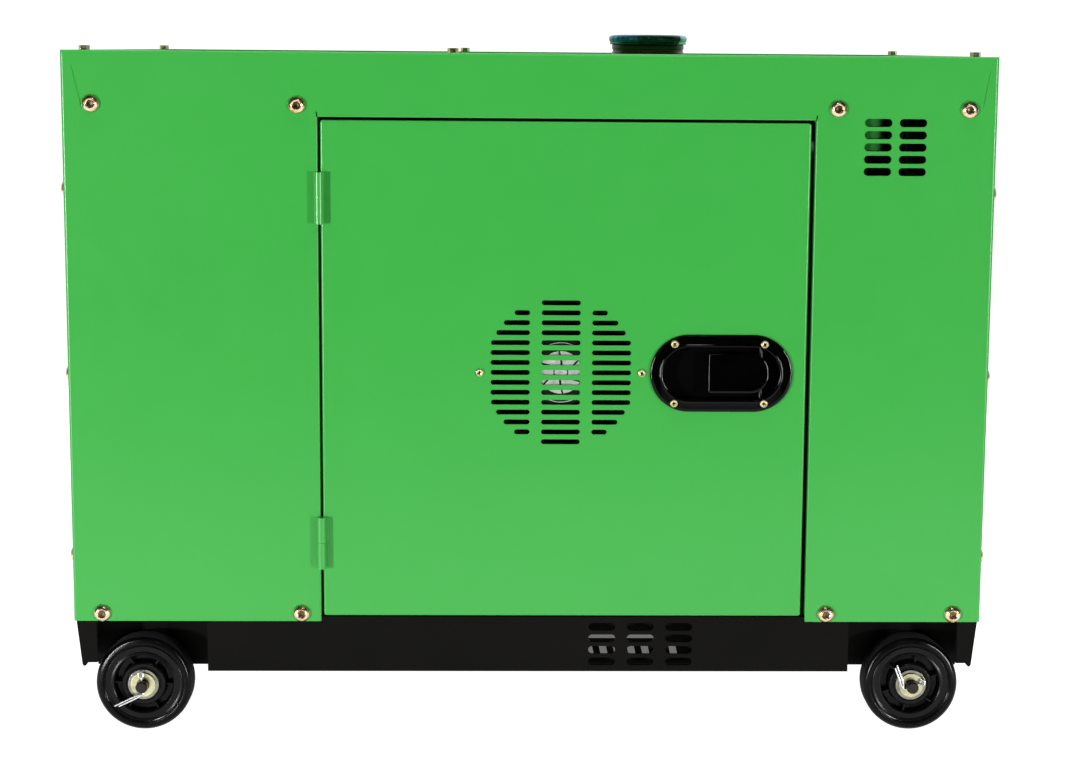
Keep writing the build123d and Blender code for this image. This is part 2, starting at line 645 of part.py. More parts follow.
# ---- power unit --------------------------------------------------------------------------------
def engine_block():
    """Crankcase with a finned barrel."""
    case = span(-245, -35, -100, 100, 181, 372)
    case = fillet(case.edges().filter_by(Axis.X), 18)
    for side in (-1, 1):
        case += span(-240, -40, min(side * 70, side * 124), max(side * 70, side * 124), 176, 186)
    barrel = rod_z(52.0, -140, 0, 370, 470)
    for level in range(7):
        barrel += span(-215, -65, -75, 75, 382 + 12 * level, 385 + 12 * level)
    block = case + barrel
    return block - rod_x(CRANK_R + RUNNING, 0, CRANK_Z, -300, 0)


def cylinder_head():
    head = fillet(span(-212, -68, -72, 72, 470, 502).edges().filter_by(Axis.Z), 8)
    cover = fillet(span(-195, -85, -50, 50, 502, 535).edges().filter_by(Axis.Z), 12)
    cover = fillet(cover.faces().sort_by(Axis.Z)[-1].edges(), 6)
    inlet = rod_y(16, -160, 486, 70, 96)
    outlet = rod_y(14, -110, 486, -92, -70)
    return head + cover + inlet + outlet


def cooling_shroud():
    """Blower housing over the flywheel, with a round air inlet."""
    outer = rod_x(118, 0, CRANK_Z, -312, -246) + span(-312, -246, -60, 60, CRANK_Z, 440)
    inner = rod_x(115, 0, CRANK_Z, -310, -245) + span(-310, -245, -57, 57, CRANK_Z, 437)
    inlet = rod_x(70, 0, CRANK_Z, -320, -300)
    return outer - inner - inlet


def flywheel():
    disc = rod_x(100, 0, CRANK_Z, -275, -250) - rod_x(CRANK_R, 0, CRANK_Z, -280, -240)
    vane = span(-294, -274, -1.5, 1.5, 62, 96)
    for index in range(16):
        disc += Pos(0, 0, CRANK_Z) * Rot(22.5 * index, 0, 0) * vane
    return disc


def alternator_housing():
    """Finned stator housing with an end bell that holds the shaft."""
    shell = rod_x(104, 0, CRANK_Z, -33, 208)
    for index in range(24):
        fin = span(-20, 190, -2, 2, 102, 111)
        shell += Pos(0, 0, CRANK_Z) * Rot(15 * index, 0, 0) * fin
    for side in (-1, 1):
        shell += span(0, 180, min(side * 60, side * 124), max(side * 60, side * 124), 176, 184)
        shell += span(0, 180, min(side * 60, side * 72), max(side * 60, side * 72), 184, 216)
    shell -= rod_x(STATOR_BORE_R, 0, CRANK_Z, -34, 194)
    return shell - rod_x(CRANK_R + RUNNING, 0, CRANK_Z, 190, 210)


def crankshaft():
    shaft = rod_x(CRANK_R, 0, CRANK_Z, -298, 214)
    return chamfer(shaft.edges().filter_by(GeomType.CIRCLE), 1.5)


def alternator_rotor():
    core = rod_x(ROTOR_R, 0, CRANK_Z, 0, 170)
    for index in range(4):
        core -= Pos(0, 0, CRANK_Z) * Rot(90 * index, 0, 0) * span(-1, 171, -5, 5, 48, 70)
    return core - rod_x(CRANK_R, 0, CRANK_Z, -1, 180)


def muffler():
    """Silencer drum with the pipe from the engine and the tail pipe through the rear panel."""
    drum = fillet(rod_x(48, 170, 560, -420, -200).edges().filter_by(GeomType.CIRCLE), 8)
    tail = rod_y(17.5, -300, 560, 200, 268)
    collar = rod_y(22.0, -300, 560, 200, 222)
    down = rod_y(16, -230, 560, 100, 140)
    body = drum + tail + collar + down
    return body - rod_y(15.0, -300, 560, 216, 270)


def air_cleaner():
    can = fillet(rod_z(52, -160, 160, 400, 500).edges().filter_by(GeomType.CIRCLE), 6)
    return can + rod_y(15, -160, 486, 98, 130)


def power_unit():
    mounts = []
    for x in (-215, -65, 30, 150):
        for y in (-110, 110):
            mounts.append(rod_z(16, x, y, FLOOR_TOP + 30, 176))
    tank = fillet(span(-80, 300, -160, 160, 580, 675).edges(), 14)
    battery = fillet(span(290, 425, -90, 90, FLOOR_TOP, 290).edges().filter_by(Axis.Z), 6)
    battery += [rod_z(9, 320, y, 290, 306) for y in (-60, 60)]
    return {
        "engine_mounts": mounts,
        "engine_block": engine_block(),
        "cylinder_head": cylinder_head(),
        "cooling_shroud": cooling_shroud(),
        "air_cleaner": air_cleaner(),
        "muffler": muffler(),
        "alternator_housing": alternator_housing(),
        "fuel_tank": tank,
        "battery": battery,
        "crankshaft": crankshaft(),
        "flywheel": flywheel(),
        "alternator_rotor": alternator_rotor(),
    }


# ---- filler ------------------------------------------------------------------------------------
def filler():
    x, y = FILLER
    neck = rod_z(NECK_R, x, y, 675, CAP_LOW - 0.3) - rod_z(NECK_BORE_R, x, y, 674, CAP_LOW)
    insert = rod_z(NECK_BORE_R - 0.5, x, y, CAP_LOW - 14, CAP_LOW - 0.2)
    insert += rod_z(10.0, x, y, CAP_LOW - 0.2, CAP_LOW + 4.6)
    shell = fillet(rod_z(CAP_R, x, y, CAP_LOW, CAP_HIGH).edges().filter_by(GeomType.CIRCLE), 2.5)
    shell = shell - rod_z(10.0 + RUNNING, x, y, CAP_LOW - 1, CAP_LOW + 4.8)
    return {"filler_neck": neck, "cap_insert": insert, "cap_shell": shell}


# ---- controls ----------------------------------------------------------------------------------
CONTROL_FACE = -END + CONTROL_DEEP          # outer face of the control plate
SOCKET_PLACES = ((-85.0, 455.0), (5.0, 455.0))
KEY_PLACE = (20.0, 575.0)
STOP_PLACE = (100.0, 575.0)
BREAKER_PLACE = (95.0, 470.0)
GROUND_PLACE = (128.0, 425.0)


def controls():
    """Control plate behind the window in the left end, with meter, key, stop button, breaker and sockets."""
    y0, y1, z0, z1 = CONTROL
    face = CONTROL_FACE
    plate = span(face, face + PLATE, y0 - 8, y1 + 8, z0 - 8, z1 + 8)
    for y, z in SOCKET_PLACES:
        plate -= rod_x(24.5, y, z, face - 1, face + 3)
    for (y, z), radius in ((KEY_PLACE, 11.2), (STOP_PLACE, 11.2), (GROUND_PLACE, 4.2)):
        plate -= rod_x(radius, y, z, face - 1, face + 3)
    plate -= span(face - 1, face + 3, 76, 114, 452, 488)
    plate -= span(face - 1, face + 3, -120, -40, 550, 600)

    meter = span(face - 4, face + 30, -119.5, -40.5, 550.5, 599.5)
    meter = meter + span(face - 4, face - 0.01, -126, -34, 544, 606) - span(face - 5, face - 3, -114, -46, 558, 592)
    key_ring = rod_x(15, *KEY_PLACE, face - 3, face) + rod_x(11, *KEY_PLACE, face - 0.5, face + 24)
    key_ring -= rod_x(7.0 + RUNNING, *KEY_PLACE, face - 5, face + 18)
    stop_ring = rod_x(16, *STOP_PLACE, face - 3, face) + rod_x(11, *STOP_PLACE, face - 0.5, face + 24)
    stop_ring -= rod_x(6.0 + RUNNING, *STOP_PLACE, face - 5, face + 20)
    y, z = BREAKER_PLACE
    breaker = span(face - 3, face + 40, y - 18.5, y + 18.5, z - 17.5, z + 17.5)
    breaker -= span(face - 4, face + 12, y - 10, y + 10, z - 13, z + 13)
    breaker -= rod_y(2.0, face + 3, z, y - 14, y + 14)

    sockets = []
    for y, z in SOCKET_PLACES:
        body = rod_x(30, y, z, face - 5, face) + rod_x(24, y, z, face - 0.5, face + 26)
        sockets.append(body - rod_x(19.5, y, z, face - 6, face + 13))

    stud = rod_x(4.0, *GROUND_PLACE, face - 20, face + 8)
    nut = prism_x(Pos(*GROUND_PLACE) * RegularPolygon(7.5, 6), face - 4.5, face - 0.01)
    stud = stud + nut

    y, z = KEY_PLACE
    key = rod_x(7.0, y, z, face - 4, face + 16) + span(face - 14, face - 3, y - 1.2, y + 1.2, z - 3.5, z + 3.5)
    key += prism_y(Pos(face - 20, z) * Circle(10), y - 1.4, y + 1.4)
    y, z = STOP_PLACE
    stop = rod_x(6.0, y, z, face - 10, face + 14)
    stop += fillet(rod_x(18.0, y, z, face - 19, face - 9).edges().group_by(Axis.X)[0], 4)
    y, z = BREAKER_PLACE
    toggle = rod_y(1.95, face + 3, z, y - 13.5, y + 13.5) + rod_y(5.5, face + 3, z, y - 8.5, y + 8.5)
    lever = prism_y(polygon((face + 3, z), (face + 6, z - 5), (face - 8, z - 12), (face - 10, z - 8)), y - 8.5, y + 8.5)
    return {
        "control_plate": plate,
        "panel_instruments": [meter, key_ring, stop_ring, breaker],
        "outlet_sockets": sockets,
        "ground_terminal": stud,
        "key": key,
        "stop_button": stop,
        "breaker_toggle": toggle + lever,
    }


# ---- everything --------------------------------------------------------------------------------
def all_nodes():
    drills = bolt_holes()
    nodes = {}
    for group in (fasteners(), base(drills), wheels(), axle_parts(), canopy(drills), door(), power_unit(),
                  filler(), controls()):
        nodes.update(group)
    return nodes


def main():
    os.makedirs("parts", exist_ok=True)
    for name, shape in all_nodes().items():
        solid = Compound(children=shape) if isinstance(shape, list) else shape
        solid.label = name
        export_step(solid, f"parts/{name}.step")


main()
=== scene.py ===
"""Looks for the canopied generator set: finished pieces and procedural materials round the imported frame."""
import json
import math

import bmesh
import bpy
from mathutils import Matrix, Vector

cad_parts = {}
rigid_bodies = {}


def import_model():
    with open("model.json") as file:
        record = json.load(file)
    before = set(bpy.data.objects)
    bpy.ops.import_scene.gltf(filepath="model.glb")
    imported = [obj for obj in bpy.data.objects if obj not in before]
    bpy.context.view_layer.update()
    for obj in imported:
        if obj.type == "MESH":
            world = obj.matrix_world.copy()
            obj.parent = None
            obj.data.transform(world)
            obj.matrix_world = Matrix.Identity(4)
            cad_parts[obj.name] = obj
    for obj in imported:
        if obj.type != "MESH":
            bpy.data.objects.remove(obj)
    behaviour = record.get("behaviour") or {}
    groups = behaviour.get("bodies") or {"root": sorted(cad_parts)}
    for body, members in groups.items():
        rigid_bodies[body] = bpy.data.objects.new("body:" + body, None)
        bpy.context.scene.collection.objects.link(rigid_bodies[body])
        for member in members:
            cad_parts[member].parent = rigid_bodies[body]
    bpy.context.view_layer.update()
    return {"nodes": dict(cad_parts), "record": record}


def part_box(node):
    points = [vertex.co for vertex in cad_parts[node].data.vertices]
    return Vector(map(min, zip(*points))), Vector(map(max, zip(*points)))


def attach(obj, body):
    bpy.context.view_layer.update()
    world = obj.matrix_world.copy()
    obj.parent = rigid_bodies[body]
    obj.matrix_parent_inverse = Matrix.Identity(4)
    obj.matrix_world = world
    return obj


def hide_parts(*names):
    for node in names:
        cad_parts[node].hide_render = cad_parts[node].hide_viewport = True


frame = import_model()

MM = 0.001
SEGMENTS = 96             # sides of a turned shape
ARC_STEPS = 40            # steps in each half circle of a stadium
AROUND = 48               # sides of a screw or bolt head
DOUBLES = 1e-6            # points of a CAD mesh nearer than this are one point
TO_FRONT = (0, -1, 0)


# ---- shapes: every function returns (points, faces) in metres -----------------------------------
def joined(*shapes):
    """Several shapes as one."""
    points = []
    faces = []
    for more_points, more_faces in shapes:
        start = len(points)
        points += list(more_points)
        faces += [[start + index for index in face] for face in more_faces]
    return points, faces


def moved(shape, matrix):
    """A shape carried by a matrix, with its faces kept outwards."""
    points, faces = shape
    turned = [matrix @ Vector(p) for p in points]
    if matrix.determinant() < 0:
        faces = [list(reversed(face)) for face in faces]
    return turned, faces


def at(x, y, z):
    return Matrix.Translation((x, y, z))


def in_metres(profile):
    """Points given in millimetres, in metres."""
    return [tuple(MM * value for value in point) for point in profile]


def facing(direction):
    """Turns +Z to a direction, and keeps +Y as near up as it can."""
    way = Vector(direction).normalized()
    if abs(way.z) > 0.99:
        return Matrix.Rotation(0 if way.z > 0 else math.pi, 4, "X")
    side = Vector((0, 0, 1)).cross(way).normalized()
    up = way.cross(side)
    return Matrix((side, up, way)).transposed().to_4x4()


def on_front(low, high, depth):
    """Place facing the front in the middle of a box, at a depth behind its front face."""
    return at((low.x + high.x) / 2, low.y + depth, (low.z + high.z) / 2) @ facing(TO_FRONT)


def rounded(profile, closed=False, steps=5):
    """A profile of (a, b, corner radius) points with each corner turned into an arc."""
    out = []
    count = len(profile)
    for index, (a, b, radius) in enumerate(profile):
        here = Vector((a, b))
        ends = index in (0, count - 1) and not closed
        if radius <= 0 or ends:
            out.append((a, b))
            continue
        before = Vector(profile[index - 1][:2]) - here
        after = Vector(profile[(index + 1) % count][:2]) - here
        angle = before.angle(after)
        if angle > math.pi - 0.01:
            out.append((a, b))
            continue
        cut = min(radius / math.tan(angle / 2), 0.49 * before.length, 0.49 * after.length)
        real = cut * math.tan(angle / 2)
        first = here + before.normalized() * cut
        last = here + after.normalized() * cut
        centre = here + (before.normalized() + after.normalized()).normalized() * (real / math.sin(angle / 2))
        start = first - centre
        turn = start.angle_signed(last - centre)
        for step in range(steps + 1):
            spoke = start.copy()
            spoke.rotate(Matrix.Rotation(-turn * step / steps, 2))
            out.append(tuple(centre + spoke))
    return out


def rings(outline_at, profile, closed):
    """Surface through one outline for each profile point. outline_at gives the points of one outline."""
    points = []
    faces = []
    size = len(outline_at(*profile[0]))
    for place in profile:
        points += outline_at(*place)
    count = len(profile)
    for ring in range(count if closed else count - 1):
        low = ring * size
        high = ((ring + 1) % count) * size
        for index in range(size):
            nxt = (index + 1) % size
            faces.append([low + index, low + nxt, high + nxt, high + index])
    if not closed:
        faces.append(list(reversed(range(size))))
        faces.append([(count - 1) * size + index for index in range(size)])
    return points, faces


def lathe(profile, closed=False, segments=SEGMENTS):
    """A profile of (radius, height) turned round +Z."""

    def outline(radius, height):
        turn = 2 * math.pi / segments
        return [(radius * math.cos(turn * i), radius * math.sin(turn * i), height) for i in range(segments)]

    return rings(outline, profile, closed)


def stadium(length, height, profile):
    """A profile of (inset, depth) carried round a stadium outline in X and Y, depth along +Z."""
    half = (length - height) / 2

    def outline(inset, depth):
        radius = height / 2 - inset
        points = []
        for centre, start in ((half, -math.pi / 2), (-half, math.pi / 2)):
            for step in range(ARC_STEPS + 1):
                angle = start + math.pi * step / ARC_STEPS
                points.append((centre + radius * math.cos(angle), radius * math.sin(angle), depth))
        return points

    return rings(outline, profile, closed=False)


def block(low, high, edge):
    """A box between two corners with softened edges."""
    mesh = bmesh.new()
    bmesh.ops.create_cube(mesh, size=1.0)
    for vert in mesh.verts:
        vert.co = Vector([low[k] if vert.co[k] < 0 else high[k] for k in range(3)])
    bmesh.ops.bevel(mesh, geom=mesh.edges[:], offset=edge, segments=2, affect="EDGES", profile=0.5)
    mesh.verts.index_update()
    points = [vert.co.copy() for vert in mesh.verts]
    faces = [[vert.index for vert in face.verts] for face in mesh.faces]
    mesh.free()
    return points, faces


def prism(outline, start, end, upright=False):
    """Runs an outline of x and z along Y from start to end, or upright, an outline of x and y along Z."""
    count = len(outline)
    points = [(a, b, along) if upright else (a, along, b) for along in (start, end) for a, b in outline]
    faces = [list(range(count)), list(range(2 * count - 1, count - 1, -1))]
    faces += [[count + k, count + (k + 1) % count, (k + 1) % count, k] for k in range(count)]
    if upright:
        faces = [face[::-1] for face in faces]
    return points, faces


def sink(head, rows, floor):
    """Takes the flat top off a turned head, and carries its rim through rows of points to one floor point."""
    points, faces = list(head[0]), head[1][:-1]
    near = list(range(len(points) - AROUND, len(points)))
    for row in rows:
        far = list(range(len(points), len(points) + AROUND))
        points += row
        faces += [[near[k], near[(k + 1) % AROUND], far[(k + 1) % AROUND], far[k]] for k in range(AROUND)]
        near = far
    points.append(floor)
    faces += [[near[k], near[(k + 1) % AROUND], len(points) - 1] for k in range(AROUND)]
    return points, faces


def wire(points, radius):
    """A round wire along a smooth line through points."""
    curve = bpy.data.curves.new("wire", "CURVE")
    curve.dimensions = "3D"
    spline = curve.splines.new("BEZIER")
    spline.bezier_points.add(len(points) - 1)
    for knot, place in zip(spline.bezier_points, points):
        knot.co = place
        knot.handle_left_type = knot.handle_right_type = "AUTO"
    curve.resolution_u = 10
    curve.bevel_depth = radius
    curve.bevel_resolution = 3
    curve.use_fill_caps = True
    holder = bpy.data.objects.new("wire", curve)
    bpy.context.collection.objects.link(holder)
    bpy.context.view_layer.update()
    mesh = bpy.data.meshes.new_from_object(holder.evaluated_get(bpy.context.evaluated_depsgraph_get()))
    shape = ([v.co.copy() for v in mesh.vertices], [list(f.vertices) for f in mesh.polygons])
    bpy.data.objects.remove(holder)
    bpy.data.meshes.remove(mesh)
    return shape


def build(name, shape, material, body, replaces=(), sharp=40):
    """Makes a piece from a shape, in the row frame, riding on a body."""
    points, faces = shape
    mesh = bpy.data.meshes.new(name)
    mesh.from_pydata([tuple(p) for p in points], [], faces)
    mesh.validate()
    clean = bmesh.new()
    clean.from_mesh(mesh)
    bmesh.ops.remove_doubles(clean, verts=clean.verts, dist=1e-7)
    bmesh.ops.recalc_face_normals(clean, faces=clean.faces)
    clean.to_mesh(mesh)
    clean.free()
    mesh.shade_smooth()
    mesh.set_sharp_from_angle(angle=math.radians(sharp))
    mesh.materials.append(material)
    piece = bpy.data.objects.new(name, mesh)
    bpy.context.collection.objects.link(piece)
    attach(piece, body)
    if replaces:
        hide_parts(*replaces)
    return piece


# ---- materials ---------------------------------------------------------------------------------
def feed(tree, socket, value):
    """Sets a socket to a number, or links it to another node's output."""
    if isinstance(value, bpy.types.NodeSocket):
        tree.links.new(value, socket)
    else:
        socket.default_value = value


def map_range(tree, value, low, high, start=0.0, end=1.0):
    """Maps start..end to low..high. Each of them is a number or another node's output."""
    node = tree.nodes.new("ShaderNodeMapRange")
    given = {"Value": value, "From Min": start, "From Max": end, "To Min": low, "To Max": high}
    for name, number in given.items():
        feed(tree, node.inputs[name], number)
    return node.outputs["Result"]


class Surface:
    """A Principled material with small helpers for procedural detail."""

    def __init__(self, name, colour, roughness, metallic=0.0, coat=0.0, specular=0.5):
        self.material = bpy.data.materials.new(name)
        self.material.use_nodes = True
        self.tree = self.material.node_tree
        self.nodes, self.links = self.tree.nodes, self.tree.links
        self.shader = self.nodes["Principled BSDF"]
        self.shader.inputs["Base Color"].default_value = (*colour, 1)
        self.shader.inputs["Roughness"].default_value = roughness
        self.shader.inputs["Metallic"].default_value = metallic
        self.shader.inputs["Coat Weight"].default_value = coat
        self.shader.inputs["Coat Roughness"].default_value = 0.08
        self.shader.inputs["Specular IOR Level"].default_value = specular
        self.where = self.nodes.new("ShaderNodeTexCoord").outputs["Object"]
        self.last_normal = None

    def noise(self, scale, detail=3.0):
        node = self.nodes.new("ShaderNodeTexNoise")
        node.inputs["Scale"].default_value = scale
        node.inputs["Detail"].default_value = detail
        self.links.new(self.where, node.inputs["Vector"])
        return node.outputs["Fac"]

    def axis(self, name, of=None):
        """One axis of a vector output, or of the place on the object."""
        node = self.nodes.new("ShaderNodeSeparateXYZ")
        self.links.new(self.where if of is None else of, node.inputs["Vector"])
        return node.outputs[name]

    def spread(self, value, low, high, start=0.3, end=0.7):
        """Maps a noise value from start..end to low..high."""
        return map_range(self.tree, value, low, high, start, end)

    def math(self, operation, first, second):
        node = self.nodes.new("ShaderNodeMath")
        node.operation = operation
        for value, socket in zip((first, second), node.inputs):
            feed(self.tree, socket, value)
        return node.outputs["Value"]

    def within(self, low, high, blur, front_blur):
        """One inside a level rectangle, nought outside it, with a soft rim that may be tighter in front."""
        inside = 1.0
        for name, start, end in zip("XY", low, high):
            place = self.axis(name)
            for edge, way in ((start, front_blur if name == "Y" else blur), (end, -blur)):
                inside = self.math("MULTIPLY", self.spread(place, 0.0, 1.0, edge, edge + way), inside)
        return inside

    def ramp(self, value, *stops):
        """Colour ramp over a value, with stops of (place, colour)."""
        node = self.nodes.new("ShaderNodeValToRGB")
        line = node.color_ramp
        while len(line.elements) < len(stops):
            line.elements.new(0.5)
        for element, (place, colour) in zip(line.elements, stops):
            element.position = place
            element.color = (*colour, 1)
        self.links.new(value, node.inputs["Fac"])
        return node.outputs["Color"]

    def colour_from(self, output):
        self.links.new(output, self.shader.inputs["Base Color"])

    def roughness_from(self, output):
        self.links.new(output, self.shader.inputs["Roughness"])

    def vary(self, scale, amount, low, high, detail=3.0):
        """Colour drifts between low and high, roughness by amount either side."""
        self.colour_from(self.ramp(self.noise(scale, detail), (0.3, low), (0.7, high)))
        rough = self.shader.inputs["Roughness"].default_value
        grain = self.noise(scale * 3.7, detail)
        self.roughness_from(self.spread(grain, rough - amount, rough + amount))

    def bump(self, scale, depth, detail=2.0):
        """Fine relief of a depth in metres, on top of any relief that is already there."""
        node = self.nodes.new("ShaderNodeBump")
        node.inputs["Strength"].default_value = 1.0
        node.inputs["Distance"].default_value = depth
        self.links.new(self.noise(scale, detail), node.inputs["Height"])
        if self.last_normal is not None:
            self.links.new(self.last_normal, node.inputs["Normal"])
        self.last_normal = node.outputs["Normal"]
        self.links.new(self.last_normal, self.shader.inputs["Normal"])


def painted(name, colour, roughness, shade=0.06, coat=0.0, specular=0.5):
    """Powder coat: faint orange peel, slow drift of colour and gloss."""
    low = [c * (1 - shade) for c in colour]
    high = [c * (1 + shade) for c in colour]
    surface = Surface(name, colour, roughness, coat=coat, specular=specular)
    surface.vary(9.0, 0.02, low, high, detail=2.0)
    surface.bump(420.0, 0.00006, detail=1.5)
    surface.bump(5.0, 0.0012, detail=1.0)
    return surface.material


def tyre_rubber(name):
    """Black rubber, polished on the side walls and dull round the tread."""
    surface = Surface(name, (0.0030, 0.0027, 0.0030), 0.20, specular=0.08)
    surface.vary(40.0, 0.06, (0.0025, 0.0023, 0.0025), (0.0037, 0.0034, 0.0037))
    normal = surface.nodes.new("ShaderNodeNewGeometry").outputs["Normal"]
    wall = surface.math("ABSOLUTE", surface.axis("Y", normal), 0.0)
    grain = surface.spread(surface.noise(150.0), -0.05, 0.05)
    surface.roughness_from(surface.math("ADD", surface.spread(wall, 0.85, 0.20, 0.15, 0.40), grain))
    surface.bump(1800.0, 0.00002)
    return surface.material


HOOD_SHADE_X = (0.338, 0.351)    # where the painted shade begins to darken the green, and where it is black


def hood_paint(name):
    """Thin green coat on the vent hood with painted shade, which darkens it and gives way to black where the
    sheet turns inwards.
    """
    surface = Surface(name, (0.010, 0.120, 0.014), 0.5, specular=0.1)
    drift = surface.spread(surface.noise(60.0, 2.0), -0.0008, 0.0008)
    # painted shade: the green darkens to black along X, where shade falls deeper in the vent
    along = surface.spread(surface.math("ADD", surface.axis("X"), drift), 0.0, 1.0, *HOOD_SHADE_X)
    surface.colour_from(surface.ramp(along, (0.0, (0.0110, 0.1500, 0.0170)), (0.5, (0.004, 0.060, 0.008)),
                                     (1.0, (0.0005, 0.003, 0.0006))))
    surface.bump(420.0, 0.00006, detail=1.5)
    return surface.material


def plastic(name, colour, roughness, grain=0.00004, coat=0.0, specular=0.5):
    """Moulded plastic: fine texture and slightly uneven gloss."""
    low = [c * 0.85 for c in colour]
    high = [c * 1.25 for c in colour]
    surface = Surface(name, colour, roughness, coat=coat, specular=specular)
    surface.vary(40.0, 0.06, low, high)
    surface.bump(1800.0, grain)
    return surface.material


def metal(name, colour, roughness, drift=0.15):
    """Bare or plated metal: tone and gloss drift a little, with fine bumps."""
    low = [c * (1 - drift) for c in colour]
    high = [min(1.0, c * (1 + drift)) for c in colour]
    surface = Surface(name, colour, roughness, metallic=1.0)
    surface.vary(120.0, 0.08, low, high)
    surface.bump(1500.0, 0.00003)
    return surface.material


def cast(name, colour, roughness, metallic=1.0, specular=0.5):
    """Sand-cast skin: coarse pits and patchy tone."""
    low = [c * 0.7 for c in colour]
    high = [min(1.0, c * 1.15) for c in colour]
    surface = Surface(name, colour, roughness, metallic=metallic, specular=specular)
    surface.vary(60.0, 0.08, low, high)
    surface.bump(700.0, 0.00025, detail=4.0)
    return surface.material


def yellow_zinc(name):
    """Yellow chromate over zinc, which drifts from gold to pink and green."""
    roughness = 0.25
    surface = Surface(name, (0.8, 0.6, 0.25), roughness, metallic=1.0)
    cloud = surface.noise(260.0, 2.5)
    surface.colour_from(surface.ramp(cloud, (0.25, (0.45, 0.24, 0.13)), (0.42, (0.66, 0.46, 0.24)),
                                     (0.52, (0.72, 0.60, 0.38)), (0.62, (0.74, 0.55, 0.48)),
                                     (0.75, (0.56, 0.54, 0.36))))
    surface.roughness_from(surface.spread(surface.noise(900.0), roughness - 0.07, roughness + 0.1))
    surface.bump(2200.0, 0.00004)
    return surface.material


CAP_ENDS_X = (0.085, 0.172)     # left and right end of the cap, over which the painted reflection runs


def foil(name):
    """Crinkled blue foil on the cap, with a painted reflection that is dark green in the middle and a painted
    highlight bright at one end.
    """
    surface = Surface(name, (0.01, 0.13, 0.24), 0.22, metallic=0.55)
    across = surface.spread(surface.axis("X"), 0.0, 1.0, *CAP_ENDS_X)
    foil_and_painted_reflection = surface.math("ADD", across, surface.spread(surface.noise(55.0), -0.14, 0.14))
    # blue foil at the left, painted dark reflection in the middle, painted highlight at the right end
    surface.colour_from(surface.ramp(foil_and_painted_reflection, (0.0, (0.020, 0.21, 0.36)), (0.25, (0.012, 0.11, 0.20)),
                                     (0.38, (0.002, 0.030, 0.026)), (0.78, (0.002, 0.034, 0.030)),
                                     (0.90, (0.30, 0.55, 0.62))))
    surface.roughness_from(surface.spread(surface.noise(140.0), 0.12, 0.35))
    surface.bump(160.0, 0.0007, detail=3.0)
    return surface.material


def all_materials():
    """Every look in the scene, by name."""
    made = {}

    def add(maker, name, *values, **options):
        made[name] = maker(name, *values, **options)

    add(painted, "canopy_paint", (0.045, 0.420, 0.060), 0.30, shade=0.010)
    add(painted, "frame_paint", (0.045, 0.410, 0.060), 0.36, shade=0.02)
    add(painted, "base_paint", (0.0038, 0.0034, 0.0031), 0.50, shade=0.25, specular=0.06)
    add(yellow_zinc, "yellow_zinc")
    add(metal, "bright_zinc", (0.74, 0.74, 0.75), 0.30)
    add(metal, "washer_steel", (0.25, 0.24, 0.20), 0.26, drift=0.3)
    add(metal, "washer_zinc", (0.52, 0.50, 0.31), 0.34, drift=0.3)
    add(metal, "axle_steel", (0.035, 0.030, 0.028), 0.35)
    add(tyre_rubber, "tyre_rubber")
    add(plastic, "rim_plastic", (0.0032, 0.0030, 0.0032), 0.26, specular=0.14)
    add(plastic, "latch_plastic", (0.0008, 0.0007, 0.0008), 0.06, grain=0.000001, specular=0.14)
    add(metal, "latch_steel", (0.65, 0.65, 0.66), 0.3)
    add(metal, "screw_brass", (0.85, 0.72, 0.40), 0.34)
    add(cast, "fan_casting", (0.0010, 0.0010, 0.0010), 0.5, metallic=0.0, specular=0.03)
    add(plastic, "fan_motor_steel", (0.004, 0.004, 0.004), 0.35, specular=0.2)
    add(plastic, "fan_blade_plastic", (0.003, 0.003, 0.003), 0.4, specular=0.2)
    add(cast, "engine_casting", (0.55, 0.56, 0.57), 0.45)
    add(painted, "shroud_paint", (0.012, 0.012, 0.012), 0.3, shade=0.2, coat=0.3)
    add(plastic, "cleaner_plastic", (0.015, 0.015, 0.015), 0.5)
    add(cast, "stator_iron", (0.16, 0.17, 0.18), 0.5, metallic=0.3)
    add(cast, "rotor_iron", (0.22, 0.18, 0.15), 0.45)
    add(metal, "crank_steel", (0.60, 0.60, 0.60), 0.2)
    add(metal, "muffler_steel", (0.35, 0.30, 0.26), 0.4, drift=0.35)
    add(plastic, "mount_rubber", (0.012, 0.012, 0.012), 0.7, grain=0.0001)
    add(plastic, "tank_plastic", (0.016, 0.016, 0.016), 0.45, grain=0.0001)
    add(plastic, "battery_plastic", (0.014, 0.014, 0.018), 0.4)
    add(plastic, "neck_plastic", (0.030, 0.020, 0.014), 0.3)
    add(painted, "control_paint", (0.012, 0.012, 0.012), 0.4, shade=0.2)
    add(plastic, "instrument_plastic", (0.020, 0.020, 0.022), 0.35)
    add(plastic, "outlet_plastic", (0.02, 0.07, 0.30), 0.4)
    add(metal, "terminal_brass", (0.75, 0.58, 0.25), 0.3)
    add(metal, "key_steel", (0.70, 0.70, 0.70), 0.25)
    add(plastic, "stop_plastic", (0.55, 0.012, 0.010), 0.22, coat=0.4)
    add(plastic, "toggle_plastic", (0.015, 0.015, 0.015), 0.4)
    # blue foil with painted reflection and a painted highlight
    add(foil, "cap_metal")
    add(plastic, "foam", (0.010, 0.010, 0.011), 0.95, grain=0.0006)
    add(metal, "badge_foil", (0.62, 0.63, 0.61), 0.42)
    # also the painted shade in the screw recesses
    add(plastic, "dark_pin", (0.002, 0.002, 0.002), 0.4, specular=0.1)
    add(hood_paint, "hood_paint")
    add(plastic, "screen_glass", (0.150, 0.190, 0.120), 0.18, coat=0.5)
    # also the painted shade in the relief slits
    add(plastic, "matt_black", (0.0010, 0.0010, 0.0010), 0.6, specular=0.02)
    # painted shade in the bolt sockets
    add(metal, "socket_shade", (0.14, 0.09, 0.045), 0.35, drift=0.3)
    return made


